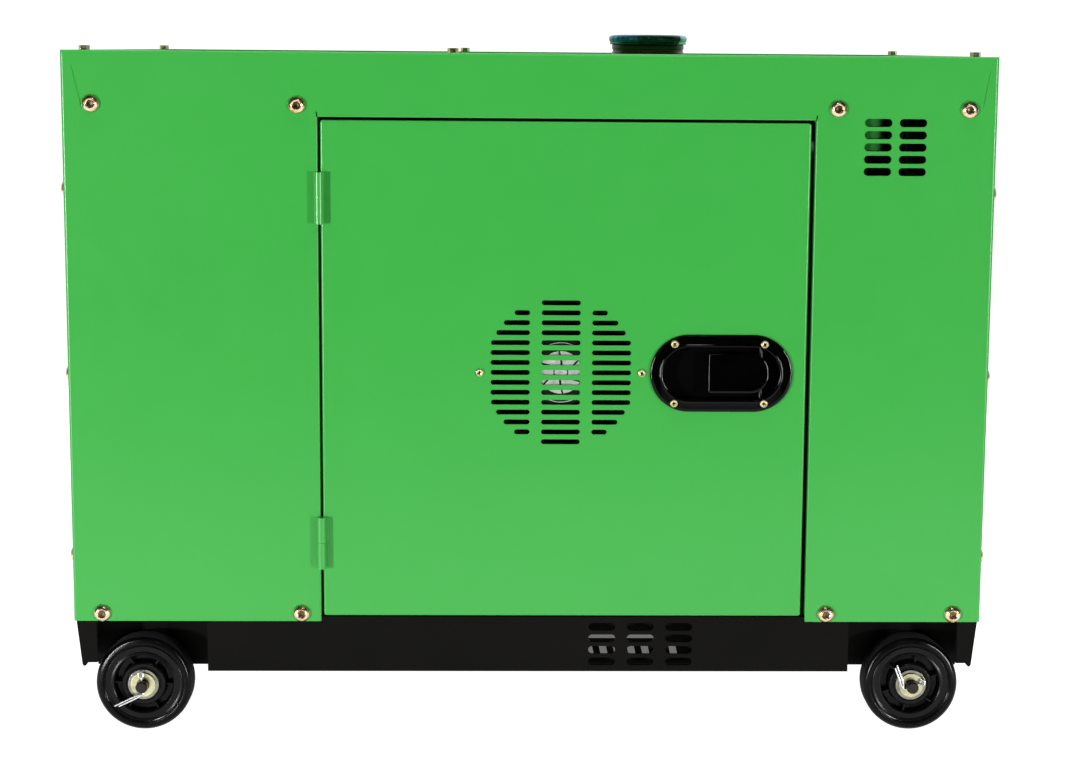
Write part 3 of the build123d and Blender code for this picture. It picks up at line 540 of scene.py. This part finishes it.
# nodes whose finish is a close cousin of their slot's
LOOKS = {"hub_washers": "washer_steel", "retaining_washers": "washer_zinc", "latch_pin": "dark_pin"}

materials = all_materials()
for part in frame["record"]["subparts"]:
    node = frame["nodes"][part["node"]]
    node.data.materials.clear()
    node.data.materials.append(materials[LOOKS.get(part["node"], part["material_slot"])])


# ---- wheels ------------------------------------------------------------------------------------
TYRE_PROFILE = (
    (39.5, -14.0, 0.3), (40.3, -14.4, 0.4), (41.0, -15.7, 0.5), (42.6, -16.0, 1.2), (45.8, -15.4, 3.0),
    (48.4, -12.2, 3.0), (49.0, -8.0, 3.0), (49.0, 8.0, 3.0), (48.4, 12.2, 3.0), (45.8, 15.4, 3.0),
    (42.6, 16.0, 1.2), (41.0, 15.7, 0.5), (40.3, 14.4, 0.4), (39.5, 14.0, 0.3))
RIM_FACE = (
    (39.4, 14.0, 0.3), (38.6, 14.4, 0.5), (36.6, 13.7, 0.8), (33.4, 13.7, 0.8), (31.6, 14.4, 0.7),
    (30.2, 13.5, 0.8), (29.4, 2.2, 1.0), (22.8, 2.2, 1.0), (22.0, 13.8, 0.8), (20.6, 15.0, 0.8),
    (17.8, 15.0, 0.3), (17.2, 14.4, 0.3), (16.2, 14.4, 0.3), (15.8, 15.0, 0.3), (6.1, 15.0, 0.2))


SPOKES = 6
SPOKE_LOW = (21.5 * MM, -0.9 * MM, -11.8 * MM)
SPOKE_HIGH = (30.4 * MM, 0.9 * MM, 11.8 * MM)


def wheel_rim(first_spoke):
    """Ring, web and hub turned in one piece, with thin ribs between ring and hub."""
    back = [(radius, -height, corner) for radius, height, corner in reversed(RIM_FACE)]
    shape = lathe(rounded(in_metres(list(RIM_FACE) + back), closed=True, steps=4), closed=True)
    for index in range(SPOKES):
        rib = block(SPOKE_LOW, SPOKE_HIGH, 0.5 * MM)
        turn = math.radians(first_spoke + 360.0 / SPOKES * index)
        shape = joined(shape, moved(rib, Matrix.Rotation(turn, 4, "Z")))
    return shape


def wheels():
    """Tyre and rim of each wheel. The left and the right wheels have their own spoke angle."""
    tyre = lathe(rounded(in_metres(TYRE_PROFILE), closed=True, steps=5), closed=True)
    for side, way in (("front", -1), ("rear", 1)):
        for end, first_spoke in (("left", 58.0), ("right", 18.0)):
            body = f"{side}_{end}_wheel"
            low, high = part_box(f"{side}_{end}_tyre")
            middle = (low + high) / 2
            place = at(*middle) @ facing((0, way, 0))
            build(f"{body}_tyre", moved(tyre, place), materials["tyre_rubber"], body,
                  (f"{side}_{end}_tyre",), sharp=60)
            build(f"{body}_rim", moved(wheel_rim(first_spoke), place), materials["rim_plastic"], body,
                  (f"{side}_{end}_rim",), sharp=50)


PIN_R = 0.95 * MM         # of the wire in the shank and legs
EYE_WIRE_R = 0.85 * MM
EYE_R = 2.7               # in mm, like EYE_AT
EYE_AT = -11.4            # along the pin
PIN_OUT = 6.4 * MM        # beyond the tyre's outer face
# end of the canopy, angle of the shank in degrees, and where its legs end in x and z
PINS = (("left", -83.0, (-28.0, -22.0)), ("right", 199.0, (-17.0, 22.0)))


def split_pin(way, leg):
    """Split pin across an axle end, in X and Z round the axle: an eye, a shank and two bent legs."""
    along = Vector((math.cos(math.radians(way)), 0, math.sin(math.radians(way))))
    across = Vector((-along.z, 0, along.x))
    knee = along * 8.2 * MM
    end = Vector((leg[0] * MM, 0, leg[1] * MM))
    parts = []
    for offset, share in ((-0.85, 1.0), (0.85, 0.9)):
        side = Vector((0, offset * MM, 0))
        beside = (end - knee).cross(Vector((0, 1, 0))).normalized() * offset * 1.5 * MM
        run = [along * -9.0 * MM + side * 0.5, along * 3.0 * MM + side * 0.6, knee + side * 0.8,
               knee + (end - knee) * 0.14 + side + beside * 0.7, knee + (end - knee) * share + side + beside]
        parts.append(wire(run, PIN_R))
    loop = []
    steps = 8
    for step in range(steps + 1):
        angle = math.radians(35 + 290 * step / steps)
        loop.append(along * (EYE_AT + EYE_R * math.cos(angle)) * MM + across * EYE_R * math.sin(angle) * MM)
    parts.append(wire(loop, EYE_WIRE_R))
    return joined(*parts)


def split_pins():
    """One split pin at each wheel."""
    shape = ([], [])
    for end, way, leg in PINS:
        pin = split_pin(way, leg)
        for side, out in (("front", -1), ("rear", 1)):
            low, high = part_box(f"{side}_{end}_tyre")
            face = low.y if out < 0 else high.y
            place = at((low.x + high.x) / 2, face + out * PIN_OUT, (low.z + high.z) / 2)
            shape = joined(shape, moved(pin, place))
    build("split_pins", shape, materials["bright_zinc"], "cabinet", ("cotter_pins",), sharp=70)


# ---- bolts -------------------------------------------------------------------------------------
def islands(node):
    """The loose parts of a CAD node, each as its low and high corner."""
    mesh = bmesh.new()
    mesh.from_mesh(frame["nodes"][node].data)
    bmesh.ops.remove_doubles(mesh, verts=mesh.verts, dist=DOUBLES)
    left = set(mesh.verts)
    found = []
    while left:
        queue = [left.pop()]
        low, high = queue[0].co.copy(), queue[0].co.copy()
        while queue:
            vert = queue.pop()
            for k in range(3):
                low[k] = min(low[k], vert.co[k])
                high[k] = max(high[k], vert.co[k])
            for edge in vert.link_edges:
                other = edge.other_vert(vert)
                if other in left:
                    left.remove(other)
                    queue.append(other)
        found.append((low, high))
    mesh.free()
    return sorted(found, key=lambda pair: tuple(round(v, 4) for v in pair[0]))


BOLT_FACE = (
    (8.7, -0.2, 0), (8.9, 0.5, 0.3), (8.75, 1.5, 0.5), (7.6, 3.4, 2.5), (5.9, 4.75, 2.5), (4.75, 5.25, 0.35))
BOLT_TALL = 5.5 * MM
BOLT_TURN = 37.0          # degrees from one bolt to the next, so that their sockets do not line up
SOCKET_R = 3.7            # across the corners of the hexagon socket, half, in mm
SOCKET_DEEP = 1.9
SOCKET_ROWS = (           # radius, height, and how far the round has turned into the hexagon
    (4.45, 5.0, 0.0), (4.1, 4.6, 0.7), (3.9, 4.3, 1.0), (3.9, 5.3 - SOCKET_DEEP, 1.0))
# profile of the dark piece that paints the shade in each bolt's socket
SOCKET_SHADE = ((3.35, 3.0, 0), (3.35, 4.2, 0.3), (1.2, 3.7, 0.2), (0.3, 3.6, 0))


def hexagon_bolt():
    """Domed head, whose middle drops through a short cone into a hexagon socket."""
    head = lathe(rounded(in_metres(BOLT_FACE), steps=5), segments=AROUND)
    rows = []
    for radius, height, six in SOCKET_ROWS:
        row = []
        for step in range(AROUND):
            angle = 2 * math.pi * step / AROUND
            flat = math.cos(math.pi / 6) / math.cos((angle % (math.pi / 3)) - math.pi / 6)
            reach = radius * (1 - six) + SOCKET_R * flat * six
            row.append((reach * MM * math.cos(angle), reach * MM * math.sin(angle), height * MM))
        rows.append(row)
    return sink(head, rows, (0, 0, (4.2 - SOCKET_DEEP) * MM))


def panel_bolts():
    """Domed bolts on the outer faces, each with a dark piece in its socket as painted shade."""
    shape, painted_shades = ([], []), ([], [])
    head = hexagon_bolt()
    shade = lathe(rounded(in_metres(SOCKET_SHADE)), segments=32)
    for index, (low, high) in enumerate(islands("panel_bolts")):
        face = (low + high) / 2
        size = high - low
        axis = 0 if size.x < size.y else 1
        sign = math.copysign(1, face[axis])
        way = Vector((0, 0, 0))
        way[axis] = sign
        face[axis] = sign * (max(abs(low[axis]), abs(high[axis])) - BOLT_TALL)
        place = at(*face) @ facing(way)
        turn = Matrix.Rotation(math.radians(BOLT_TURN * index), 4, "Z")
        shape = joined(shape, moved(head, place @ turn))
        painted_shades = joined(painted_shades, moved(shade, place))
    build("socket_shades", painted_shades, materials["socket_shade"], "cabinet", sharp=32)
    build("dome_bolts", shape, materials["yellow_zinc"], "cabinet", ("panel_bolts",), sharp=32)


# ---- door furniture ----------------------------------------------------------------------------
LATCH_FACE = (
    (16.5, -13.8, 0.0), (13.6, -13.0, 1.5), (12.9, 2.6, 0.7), (12.0, 4.3, 1.1), (10.3, 4.3, 0.8),
    (9.6, 3.8, 0.6), (3.0, 3.7, 1.0), (0.9, 3.2, 1.2), (0.0, 1.4, 0.8), (0.0, 0.05, 0.0),
    (9.2, 0.05, 0.0), (9.3, -17.0, 0.0))
PADDLE_FACE = (
    (1.2, 0.8, 0.0), (0.0, 1.2, 0.3), (0.0, 3.5, 1.1), (2.6, 3.6, 0.9), (14.0, 3.2, 0.0))
PADDLE_WIDE = 60.0 * MM
PADDLE_FREE_R = 2.0 * MM    # corners at the end that is pulled, on the left
PADDLE_HINGE_R = 17.5 * MM  # corners at the hinged end
PIVOT_X, PIVOT_Y = 0.231, -0.255
BARREL_HALF = 9.5 * MM
BARREL_FACE = ((2.1, -9.5, 0), (4.2, -9.5, 0.6), (4.2, 9.5, 0.6), (2.1, 9.5, 0))
WELL_FACE = ((13.4, -14.0, 0), (13.4, -12.2, 0), (20.0, -12.0, 0))
GUIDE_X = (35.4 * MM, 73.4 * MM)     # from the middle of the housing
GUIDE_Y = (17.0 * MM, 25.8 * MM, 28.5 * MM)
GUIDE_Z = (10.2 * MM, 14.0 * MM)


def latch():
    """Oval housing with a raised lip round its well, a guide for the tongue, and a dished paddle."""
    low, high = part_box("latch_housing")
    place = on_front(low, high, 4.0 * MM)
    middle = place.translation
    ring = stadium(high.x - low.x, high.z - low.z, rounded(in_metres(LATCH_FACE), steps=4))
    left, right = (middle.x + x for x in GUIDE_X)
    front, step, back = (middle.y + y for y in GUIDE_Y)
    inner, outer = GUIDE_Z
    guide = joined(
        block((left, front, middle.z + inner), (right, back, middle.z + outer), 0.4 * MM),
        block((left, front, middle.z - outer), (right, back, middle.z - inner), 0.4 * MM),
        block((left, step, middle.z - outer), (right, back, middle.z + outer), 0.4 * MM))
    build("latch_shell", joined(moved(ring, place), guide), materials["latch_plastic"], "door",
          ("latch_housing",), sharp=50)

    floor = stadium(high.x - low.x, high.z - low.z, rounded(in_metres(WELL_FACE)))
    build("well_floor", moved(floor, place), materials["matt_black"], "door", sharp=50)

    low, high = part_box("latch_paddle")
    half = (high.z - low.z) / 2
    level = (low.z + high.z) / 2

    def outline(inset, depth):
        side, tall = PADDLE_WIDE / 2 - inset, half - inset
        free_r, hinge_r = max(PADDLE_FREE_R - inset, 0.3 * MM), PADDLE_HINGE_R - inset * 0.9
        corners = [(-side, -tall, free_r), (side, -tall, hinge_r),
                   (side, tall, hinge_r), (-side, tall, free_r)]
        return [(a, b, depth) for a, b in rounded(corners, closed=True, steps=12)]

    plate = rings(outline, rounded(in_metres(PADDLE_FACE), steps=4), closed=False)
    plate_at = at(low.x + PADDLE_WIDE / 2, middle.y, level) @ facing(TO_FRONT)
    barrel = lathe(rounded(in_metres(BARREL_FACE), closed=True), closed=True, segments=40)
    web = block((0.2272, -0.2609, level - BARREL_HALF), (0.2348, -0.2580, level + BARREL_HALF), 0.3 * MM)
    handle = joined(moved(plate, plate_at), moved(barrel, at(PIVOT_X, PIVOT_Y, level)), web)
    build("latch_handle", handle, materials["latch_plastic"], "handle",
          ("latch_paddle",), sharp=50)


# ---- base, meter and vents ---------------------------------------------------------------------
GUSSET = ((446.3, 61.0), (450.6, 61.0), (451.0, 73.8), (455.7, 117.6), (446.3, 117.6))   # x and z in mm
GUSSET_FACES = (-0.2118, 0.2092)
GUSSET_THICK = 2.6 * MM
SKIRT_LIP = ((0.0402, -0.2358, 0.0612), (0.1798, -0.2342, 0.0662))
SKIRT_REAR_PLATE = ((0.0402, 0.2342, 0.0612), (0.1798, 0.2358, 0.1174))


def arch_gussets():
    """Plates between each wheel bracket and the end skirt, and behind the slots of the middle skirt."""
    shape = ([], [])
    for side in (1, -1):
        flat = [(side * x * MM, z * MM) for x, z in GUSSET[::side]]
        for y in GUSSET_FACES:
            shape = joined(shape, prism(flat, y, y + GUSSET_THICK))
    shape = joined(shape, block(*SKIRT_LIP, 0.2 * MM), block(*SKIRT_REAR_PLATE, 0.2 * MM))
    build("arch_gussets", shape, materials["base_paint"], "cabinet")


SCREEN_Y = (-0.1135, -0.0465)
SCREEN_Z = (0.5585, 0.5915)
BAR_START = -0.1080
BAR_STEP = 0.012
BAR_BOTTOM = 0.5640
BAR_PITCH = 0.0072
BAR_TALL = 0.0030


def meter_screen():
    """Liquid-crystal window with four blank bars, let into the meter's bezel."""
    bezel = [pair for pair in islands("panel_instruments") if pair[1].y < -0.030 and pair[1].z > 0.600]
    if not bezel:
        return
    face = min(low.x for low, high in bezel)
    near, far = ((face + depth * MM, y, z) for depth, y, z in zip((0.15, 0.95), SCREEN_Y, SCREEN_Z))
    glass = block(near, far, 0.3 * MM)
    build("meter_screen", glass, materials["screen_glass"], "cabinet", sharp=35)
    bars = ([], [])
    for level in range(4):
        z = BAR_BOTTOM + BAR_PITCH * level
        end = BAR_START + BAR_STEP * (level + 2)
        bar = block((face + 0.05 * MM, BAR_START, z), (face + 0.30 * MM, end, z + BAR_TALL), 0.08 * MM)
        bars = joined(bars, bar)
    build("meter_bars", bars, materials["matt_black"], "cabinet", sharp=35)


SLITS = ((-1, -0.2092, 0.6262), (1, 0.2819, 0.6268))      # side, then x and z of the middle
SLIT_R = 1.1 * MM
SLIT_HALF = 1.7 * MM        # from the middle to the centre of each round end
SLIT_LEAN = 22            # degrees
SLIT_Y = (-256.06 * MM, -255.2 * MM)


def slit_seals():
    """Black pieces in the relief slits above the corners of the door opening: painted shade in the slits."""
    shape = ([], [])
    steps = 20
    for side, middle_x, middle_z in SLITS:
        lean = math.radians(SLIT_LEAN) * side
        outline = []
        for step in range(steps):
            turn = 2 * math.pi * step / steps
            across = SLIT_R * math.cos(turn)
            along = SLIT_R * math.sin(turn) + math.copysign(SLIT_HALF, math.sin(turn + 0.01))
            outline.append((middle_x + across * math.cos(lean) + along * math.sin(lean),
                            middle_z - across * math.sin(lean) + along * math.cos(lean)))
        shape = joined(shape, prism(outline, *SLIT_Y))
    build("slit_seals", shape, materials["matt_black"], "cabinet")


HOOD_OUTER = (
    (324.0, -253.6), (339.0, -253.6), (343.5, -252.6), (347.0, -250.0), (349.2, -245.5), (350.0, -238.0))
HOOD_INNER = (
    (349.4, -238.0), (348.6, -245.2), (346.5, -249.4), (343.2, -251.8), (338.9, -252.8), (324.0, -252.8))
HOOD_Z = (0.5950, 0.6320)


def vent_hood():
    """Thin liner in front of the baffle behind the upper vents, whose green fades to black in painted shade.
    """
    shape = prism(in_metres(HOOD_OUTER + HOOD_INNER), *HOOD_Z, upright=True)
    build("vent_hood", shape, materials["hood_paint"], "cabinet", sharp=35)


# ---- door screws and fan badge -----------------------------------------------------------------
SCREW_TALL = 1.6 * MM
CROSS_ROWS = ((0.60, 0.93, 0.5), (0.56, 0.80, 1.0), (0.40, 0.10, 1.0))   # reach, height, how far a cross


def cross_screw(radius, height):
    """Pan head with a cross recess."""
    ring = [(radius, -0.2 * MM, 0), (radius, height * 0.45, radius * 0.15),
            (radius * 0.86, height, radius * 0.12), (radius * 0.72, height, 0)]
    rows = []
    for reach, level, cross in CROSS_ROWS:
        row = []
        for step in range(AROUND):
            angle = 2 * math.pi * step / AROUND
            arm = abs(math.cos(2 * angle)) ** 1.5
            wide = radius * reach * (1 - cross * 0.55 * (1 - arm))
            row.append((wide * math.cos(angle), wide * math.sin(angle), height * level))
        rows.append(row)
    return sink(lathe(rounded(ring, steps=4), segments=AROUND), rows, (0, 0, 0))


def door_screws():
    """Cross-recessed screws of the latch and the fan, each with a dark piece in its recess as painted shade.
    """
    shape, recess_shades = ([], []), ([], [])
    for index, (low, high) in enumerate(islands("door_screws")):
        radius = (high.x - low.x) / 2
        place = on_front(low, high, SCREW_TALL)
        # dark piece that paints the shade in the cross recess
        core = [(radius * 0.50, 0, 0), (radius * 0.50, 0.9 * MM, 0.2 * MM), (0.1 * radius, 0.7 * MM, 0)]
        recess_shades = joined(recess_shades, moved(lathe(rounded(core), segments=32), place))
        turn = Matrix.Rotation(0.7 * index + 0.3, 4, "Z")
        shape = joined(shape, moved(cross_screw(radius, SCREW_TALL), place @ turn))
    build("cross_screws", shape, materials["screw_brass"], "door", ("door_screws",), sharp=32)
    build("screw_cores", recess_shades, materials["dark_pin"], "door", sharp=32)


BADGE_SECTORS = 6
BADGE_TURN = 18           # degrees, of the first gap
BADGE_TALL = 0.3
BADGE_ROWS = ((7.5, 0.70), (14.0, 0.86), (21.5, 0.92))    # radius, and the share of a sector that is not gap
BADGE_SWEEP = 0.014       # radians for each mm of radius
BADGE_STEPS = 8
BADGE_RING = ((29.6, -0.2, 0), (30.4, -0.2, 0), (30.4, 0.2, 0.1), (29.6, 0.2, 0.1))
BADGE_CENTRE = ((0.4, 0.0), (6.3, 0.0), (6.3, BADGE_TALL), (0.4, BADGE_TALL))


def badge_sector(first):
    """Flat plate between three rows of points, swept a little, whose sector starts at an angle."""
    points = []
    for radius, span in BADGE_ROWS:
        for step in range(BADGE_STEPS + 1):
            share = 0.5 + span * (step / BADGE_STEPS - 0.5)
            angle = first + math.radians(360 / BADGE_SECTORS) * share + BADGE_SWEEP * radius
            points.append((radius * MM * math.cos(angle), radius * MM * math.sin(angle)))
    count, wide = len(points), BADGE_STEPS + 1
    solid = [(x, y, 0.0) for x, y in points] + [(x, y, BADGE_TALL * MM) for x, y in points]
    faces = []
    for row in range(2):
        for step in range(BADGE_STEPS):
            a = row * wide + step
            faces.append([a, a + 1, a + wide + 1, a + wide])
            faces.append([count + a, count + a + wide, count + a + wide + 1, count + a + 1])
    edge = list(range(wide)) + [2 * wide - 1, 3 * wide - 1]
    edge += list(range(3 * wide - 2, 2 * wide - 1, -1)) + [wide]
    for one, two in zip(edge, edge[1:] + edge[:1]):
        faces.append([one, two, count + two, count + one])
    return solid, faces


def fan_badge():
    """Plain face of the fan's motor: grey sectors between narrow gaps and one thin ring round them."""
    low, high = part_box("fan_motor")
    place = on_front(low, high, -0.1 * MM)
    shape = moved(lathe(rounded(in_metres(BADGE_RING), closed=True), closed=True), place)
    for index in range(BADGE_SECTORS):
        first = math.radians(360 // BADGE_SECTORS * index + BADGE_TURN)
        shape = joined(shape, moved(badge_sector(first), place))
    centre = lathe(in_metres(BADGE_CENTRE), closed=True, segments=48)
    build("fan_badge", joined(shape, moved(centre, place)), materials["badge_foil"], "door")


# ---- filler ------------------------------------------------------------------------------------
CAP_FACE = (
    (0.5, 9.4, 0), (26.0, 9.7, 6), (38.0, 9.3, 3), (41.6, 8.3, 2.0), (42.9, 6.2, 1.5), (42.6, 3.6, 1.5),
    (41.4, 1.6, 1.0), (41.9, 0.3, 0.4), (41.0, -0.9, 0.4), (40.0, -0.9, 0.2), (39.9, 0.05, 0.2),
    (10.2, 0.05, 0), (10.2, 4.7, 0), (0.5, 4.7, 0))
CREASE_FROM = 30 * MM       # radius where the foil begins to crease, which grows over the next CREASE_OVER
CREASE_OVER = 13 * MM
CREASE_DEEP = 0.22 * MM
NECK_BORE = 33.0 * MM


def filler():
    """Foil cap with a creased rim, and a ribbed neck."""
    low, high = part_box("cap_shell")
    place = at((low.x + high.x) / 2, (low.y + high.y) / 2, low.z)
    shape = lathe(rounded(in_metres(CAP_FACE), closed=True, steps=5), closed=True, segments=160)
    cap = build("cap_cover", moved(shape, place), materials["cap_metal"], "filler_cap",
                ("cap_shell",), sharp=45)
    for vert in cap.data.vertices:
        offset = vert.co - place.translation
        reach = math.hypot(offset.x, offset.y)
        if reach > CREASE_FROM:
            turn = math.atan2(offset.y, offset.x)
            crease = math.sin(23 * turn) * math.sin(7 * turn + 1.3) + 0.6 * math.sin(51 * turn + 0.4)
            share = (reach - CREASE_FROM) / CREASE_OVER
            vert.co.x -= offset.x / reach * CREASE_DEEP * share * (1 + crease)
            vert.co.y -= offset.y / reach * CREASE_DEEP * share * (1 + crease)

    low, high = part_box("filler_neck")
    radius = (high.x - low.x) / 2
    tall = high.z - low.z
    groove = radius - 0.9 * MM
    wall = [(radius, 0, 0), (radius, tall - 9.0 * MM, 0.4 * MM), (groove, tall - 8.2 * MM, 0.4 * MM),
            (groove, tall - 6.0 * MM, 0.4 * MM), (radius, tall - 5.2 * MM, 0.4 * MM),
            (radius, tall - 1.4 * MM, 0.8 * MM), (radius - 1.0 * MM, tall, 0.4 * MM),
            (NECK_BORE, tall, 0.3 * MM), (NECK_BORE, 0, 0)]
    place = at((low.x + high.x) / 2, (low.y + high.y) / 2, low.z)
    build("neck_tube", moved(lathe(rounded(wall, closed=True, steps=3), closed=True), place),
          materials["neck_plastic"], "cabinet", ("filler_neck",), sharp=45)


# ---- foam and softened edges -------------------------------------------------------------------
FOAM_THICK = 0.014
FOAM_PITCH = 0.0125


def foam_slab(width, height):
    """A slab whose face rises to a point at every other knot of a grid."""
    across, up = round(width / FOAM_PITCH), round(height / FOAM_PITCH)
    wide = across + 1
    points, faces = [], []
    for row in range(up + 1):
        for col in range(wide):
            rise = 0.55 + 0.45 * (row % 2) * (col % 2)
            points.append((width * (col / across - 0.5), height * (row / up - 0.5), FOAM_THICK * rise))
    base = len(points)
    points += [(-width / 2, -height / 2, 0), (width / 2, -height / 2, 0), (width / 2, height / 2, 0),
               (-width / 2, height / 2, 0)]
    for row in range(up):
        for col in range(across):
            a = row * wide + col
            faces.append([a, a + 1, a + wide + 1, a + wide])
    faces.append([base + 3, base + 2, base + 1, base])
    faces.append([base, base + 1] + list(range(across, -1, -1)))
    faces.append([base + 1, base + 2] + [row * wide + across for row in range(up, -1, -1)])
    faces.append([base + 2, base + 3] + [up * wide + col for col in range(wide)])
    faces.append([base + 3, base] + [row * wide for row in range(up + 1)])
    return points, faces


def sound_foam():
    """Pointed foam inside the rear and right louvres, which keeps the engine bay dark and quiet."""
    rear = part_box("rear_panel")
    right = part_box("right_end_panel")
    wall = moved(foam_slab(0.300, 0.250), at(0.139, rear[1].y - 0.024, 0.338) @ facing(TO_FRONT))
    end = moved(foam_slab(0.340, 0.260), at(right[1].x - 0.028, 0.0, 0.340) @ facing((-1, 0, 0)))
    build("sound_foam", joined(wall, end), materials["foam"], "cabinet", sharp=60)


def soften(width, *nodes):
    """Rounds the edges of CAD nodes whose shape is right."""
    for name in nodes:
        node = frame["nodes"][name]
        weld = node.modifiers.new("weld", "WELD")
        weld.merge_threshold = DOUBLES
        bevel = node.modifiers.new("bevel", "BEVEL")
        bevel.width = width
        bevel.segments = 2
        bevel.limit_method = "ANGLE"
        bevel.angle_limit = math.radians(40)


wheels()
split_pins()
panel_bolts()
sound_foam()
latch()
door_screws()
fan_badge()
filler()
arch_gussets()
meter_screen()
slit_seals()
vent_hood()
soften(0.25 * MM, "hub_washers", "retaining_washers", "top_screws", "fan_frame")


# ---- light, floor and camera -------------------------------------------------------------------
FLOOR_HALF = 2.0
FLOOR_GLOW = 1.05         # of the floor, for the camera
SHADE_GLOW = 0.14         # what is left of that glow on the floor behind the skirt, a painted shade
SHADE_FRONT, SHADE_BACK = -0.002, 0.34
SHADE_HALF_X = 0.36
SHADE_BLUR, SHADE_FRONT_BLUR = 0.14, 0.02
FLOOR_GLOSS = 1.05        # of the floor, in polished parts, behind GLOSS_FRONT
GLOSS_FRONT = -1.75
GLOSS_BLUR = 0.4
ROOM_LIGHT = 0.10         # of the room, on matt parts
ROOM_GLOSS = 0.01         # of the room, in polished parts
BACK_GLOSS = 0.8          # of the room at the back, in polished parts
BACK_START, BACK_END = 0.10, 0.45    # Y of a direction, where ROOM_GLOSS ends and where BACK_GLOSS begins
ROOM_SEEN = 1.1           # of the room, for the camera
LAMPS = (                 # name, place, aim, size, power
    ("lamp_left", (-4.15, -4.40, 0.25), (0, -0.26, 0.36), (0.40, 0.45), 238.0),
    ("lamp_right", (4.15, -4.40, 0.25), (0, -0.26, 0.36), (0.40, 0.45), 155.0),
    ("strip_left", (-0.95, -1.05, 0.37), (0.1, -0.26, 0.37), (0.10, 0.80), 70.0),
    ("strip_right", (1.10, -1.05, 0.37), (0.1, -0.26, 0.37), (0.10, 0.80), 60.0),
    ("lamp_glint", (0.25, -1.60, 2.40), (0, -0.2, 0.3), (0.25, 0.25), 3.5),
    ("lamp_top", (0.0, 0.3, 3.2), (0, 0.1, 0.0), (3.2, 3.2), 95.0),
)


def area_light(name, place, aim, size, power):
    light = bpy.data.lights.new(name, "AREA")
    light.shape = "RECTANGLE"
    light.size, light.size_y = size
    light.energy = power
    lamp = bpy.data.objects.new(name, light)
    lamp.location = place
    lamp.rotation_euler = (Vector(aim) - Vector(place)).to_track_quat("-Z", "Y").to_euler()
    bpy.context.collection.objects.link(lamp)


def sheet(name, half, level, paper):
    """A square of studio paper, level and centred."""
    mesh = bpy.data.meshes.new(name)
    mesh.from_pydata([(-half, -half, level), (half, -half, level), (half, half, level), (-half, half, level)],
                     [], [[0, 1, 2, 3]])
    mesh.materials.append(paper)
    piece = bpy.data.objects.new(name, mesh)
    bpy.context.collection.objects.link(piece)


def paper_floor():
    """White paper, which glows for the camera except in a painted shade behind the skirt, and glows in
    polished parts.
    """
    paper = Surface("floor_paper", (0.6, 0.6, 0.6), 0.9, specular=0.0)
    paper.vary(3.0, 0.03, (0.58, 0.58, 0.58), (0.62, 0.62, 0.62))
    paper.shader.inputs["Emission Color"].default_value = (1, 1, 1, 1)
    rays = paper.nodes.new("ShaderNodeLightPath").outputs
    wide = 2 * FLOOR_HALF
    near = paper.within((-wide, GLOSS_FRONT), (wide, wide), GLOSS_BLUR, GLOSS_BLUR)
    mirrored = paper.math("MULTIPLY", paper.spread(rays["Is Glossy Ray"], 0.0, FLOOR_GLOSS, 0.0, 1.0), near)
    shade = paper.within((-SHADE_HALF_X, SHADE_FRONT), (SHADE_HALF_X, SHADE_BACK),
                         SHADE_BLUR, SHADE_FRONT_BLUR)
    seen = paper.spread(shade, FLOOR_GLOW, SHADE_GLOW, 0.0, 1.0)
    glow = map_range(paper.tree, rays["Is Camera Ray"], mirrored, seen)
    feed(paper.tree, paper.shader.inputs["Emission Strength"], glow)
    sheet("floor", FLOOR_HALF, 0.0, paper.material)


def room():
    """White for the camera, faint on matt parts, dark in polished parts, and bright at the back in them."""
    world = bpy.data.worlds.new("studio")
    bpy.context.scene.world = world
    world.use_nodes = True
    tree = world.node_tree
    sky = tree.nodes["Background"]
    rays = tree.nodes.new("ShaderNodeLightPath").outputs
    way = tree.nodes.new("ShaderNodeSeparateXYZ")
    tree.links.new(tree.nodes.new("ShaderNodeTexCoord").outputs["Generated"], way.inputs["Vector"])
    backdrop = map_range(tree, way.outputs["Y"], ROOM_GLOSS, BACK_GLOSS, BACK_START, BACK_END)
    glossy = map_range(tree, rays["Is Glossy Ray"], ROOM_LIGHT, backdrop)
    feed(tree, sky.inputs["Strength"], map_range(tree, rays["Is Camera Ray"], glossy, ROOM_SEEN))
    sky.inputs["Color"].default_value = (1, 1, 1, 1)


def lamps():
    """Small lamps low at the sides, a soft one above, and two strips for only the latch and the tyres."""
    for lamp in LAMPS:
        area_light(*lamp)
    bpy.data.objects["lamp_top"].visible_glossy = False
    black = bpy.data.collections.new("polished_black")
    for piece in bpy.data.objects:
        if piece.name.startswith("latch_") or piece.name.endswith("_wheel_tyre"):
            black.objects.link(piece)
    for strip in ("strip_left", "strip_right"):
        bpy.data.objects[strip].visible_diffuse = False
        bpy.data.objects[strip].light_linking.receiver_collection = black


def camera():
    """Stands 2.12 m in front of the canopy, level with its top edge, and looks slightly down."""
    low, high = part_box("front_panel")
    top, face = high.z, low.y
    data = bpy.data.cameras.new("camera")
    data.sensor_width = 36.0
    data.lens = 72.502
    data.shift_x = -0.03613
    data.shift_y = -0.02206
    eye = bpy.data.objects.new("camera", data)
    eye.location = (-0.0125, face - 2.1224, top + 0.0067)
    pan, tilt, roll = (math.radians(angle) for angle in (-1.454, 90 - 8.188, 0.468))
    turn = Matrix.Rotation(pan, 4, "Z") @ Matrix.Rotation(tilt, 4, "X") @ Matrix.Rotation(roll, 4, "Z")
    eye.rotation_euler = turn.to_euler()
    bpy.context.collection.objects.link(eye)
    bpy.context.scene.camera = eye


paper_floor()
room()
lamps()
camera()
bpy.context.scene.view_settings.view_transform = "Standard"
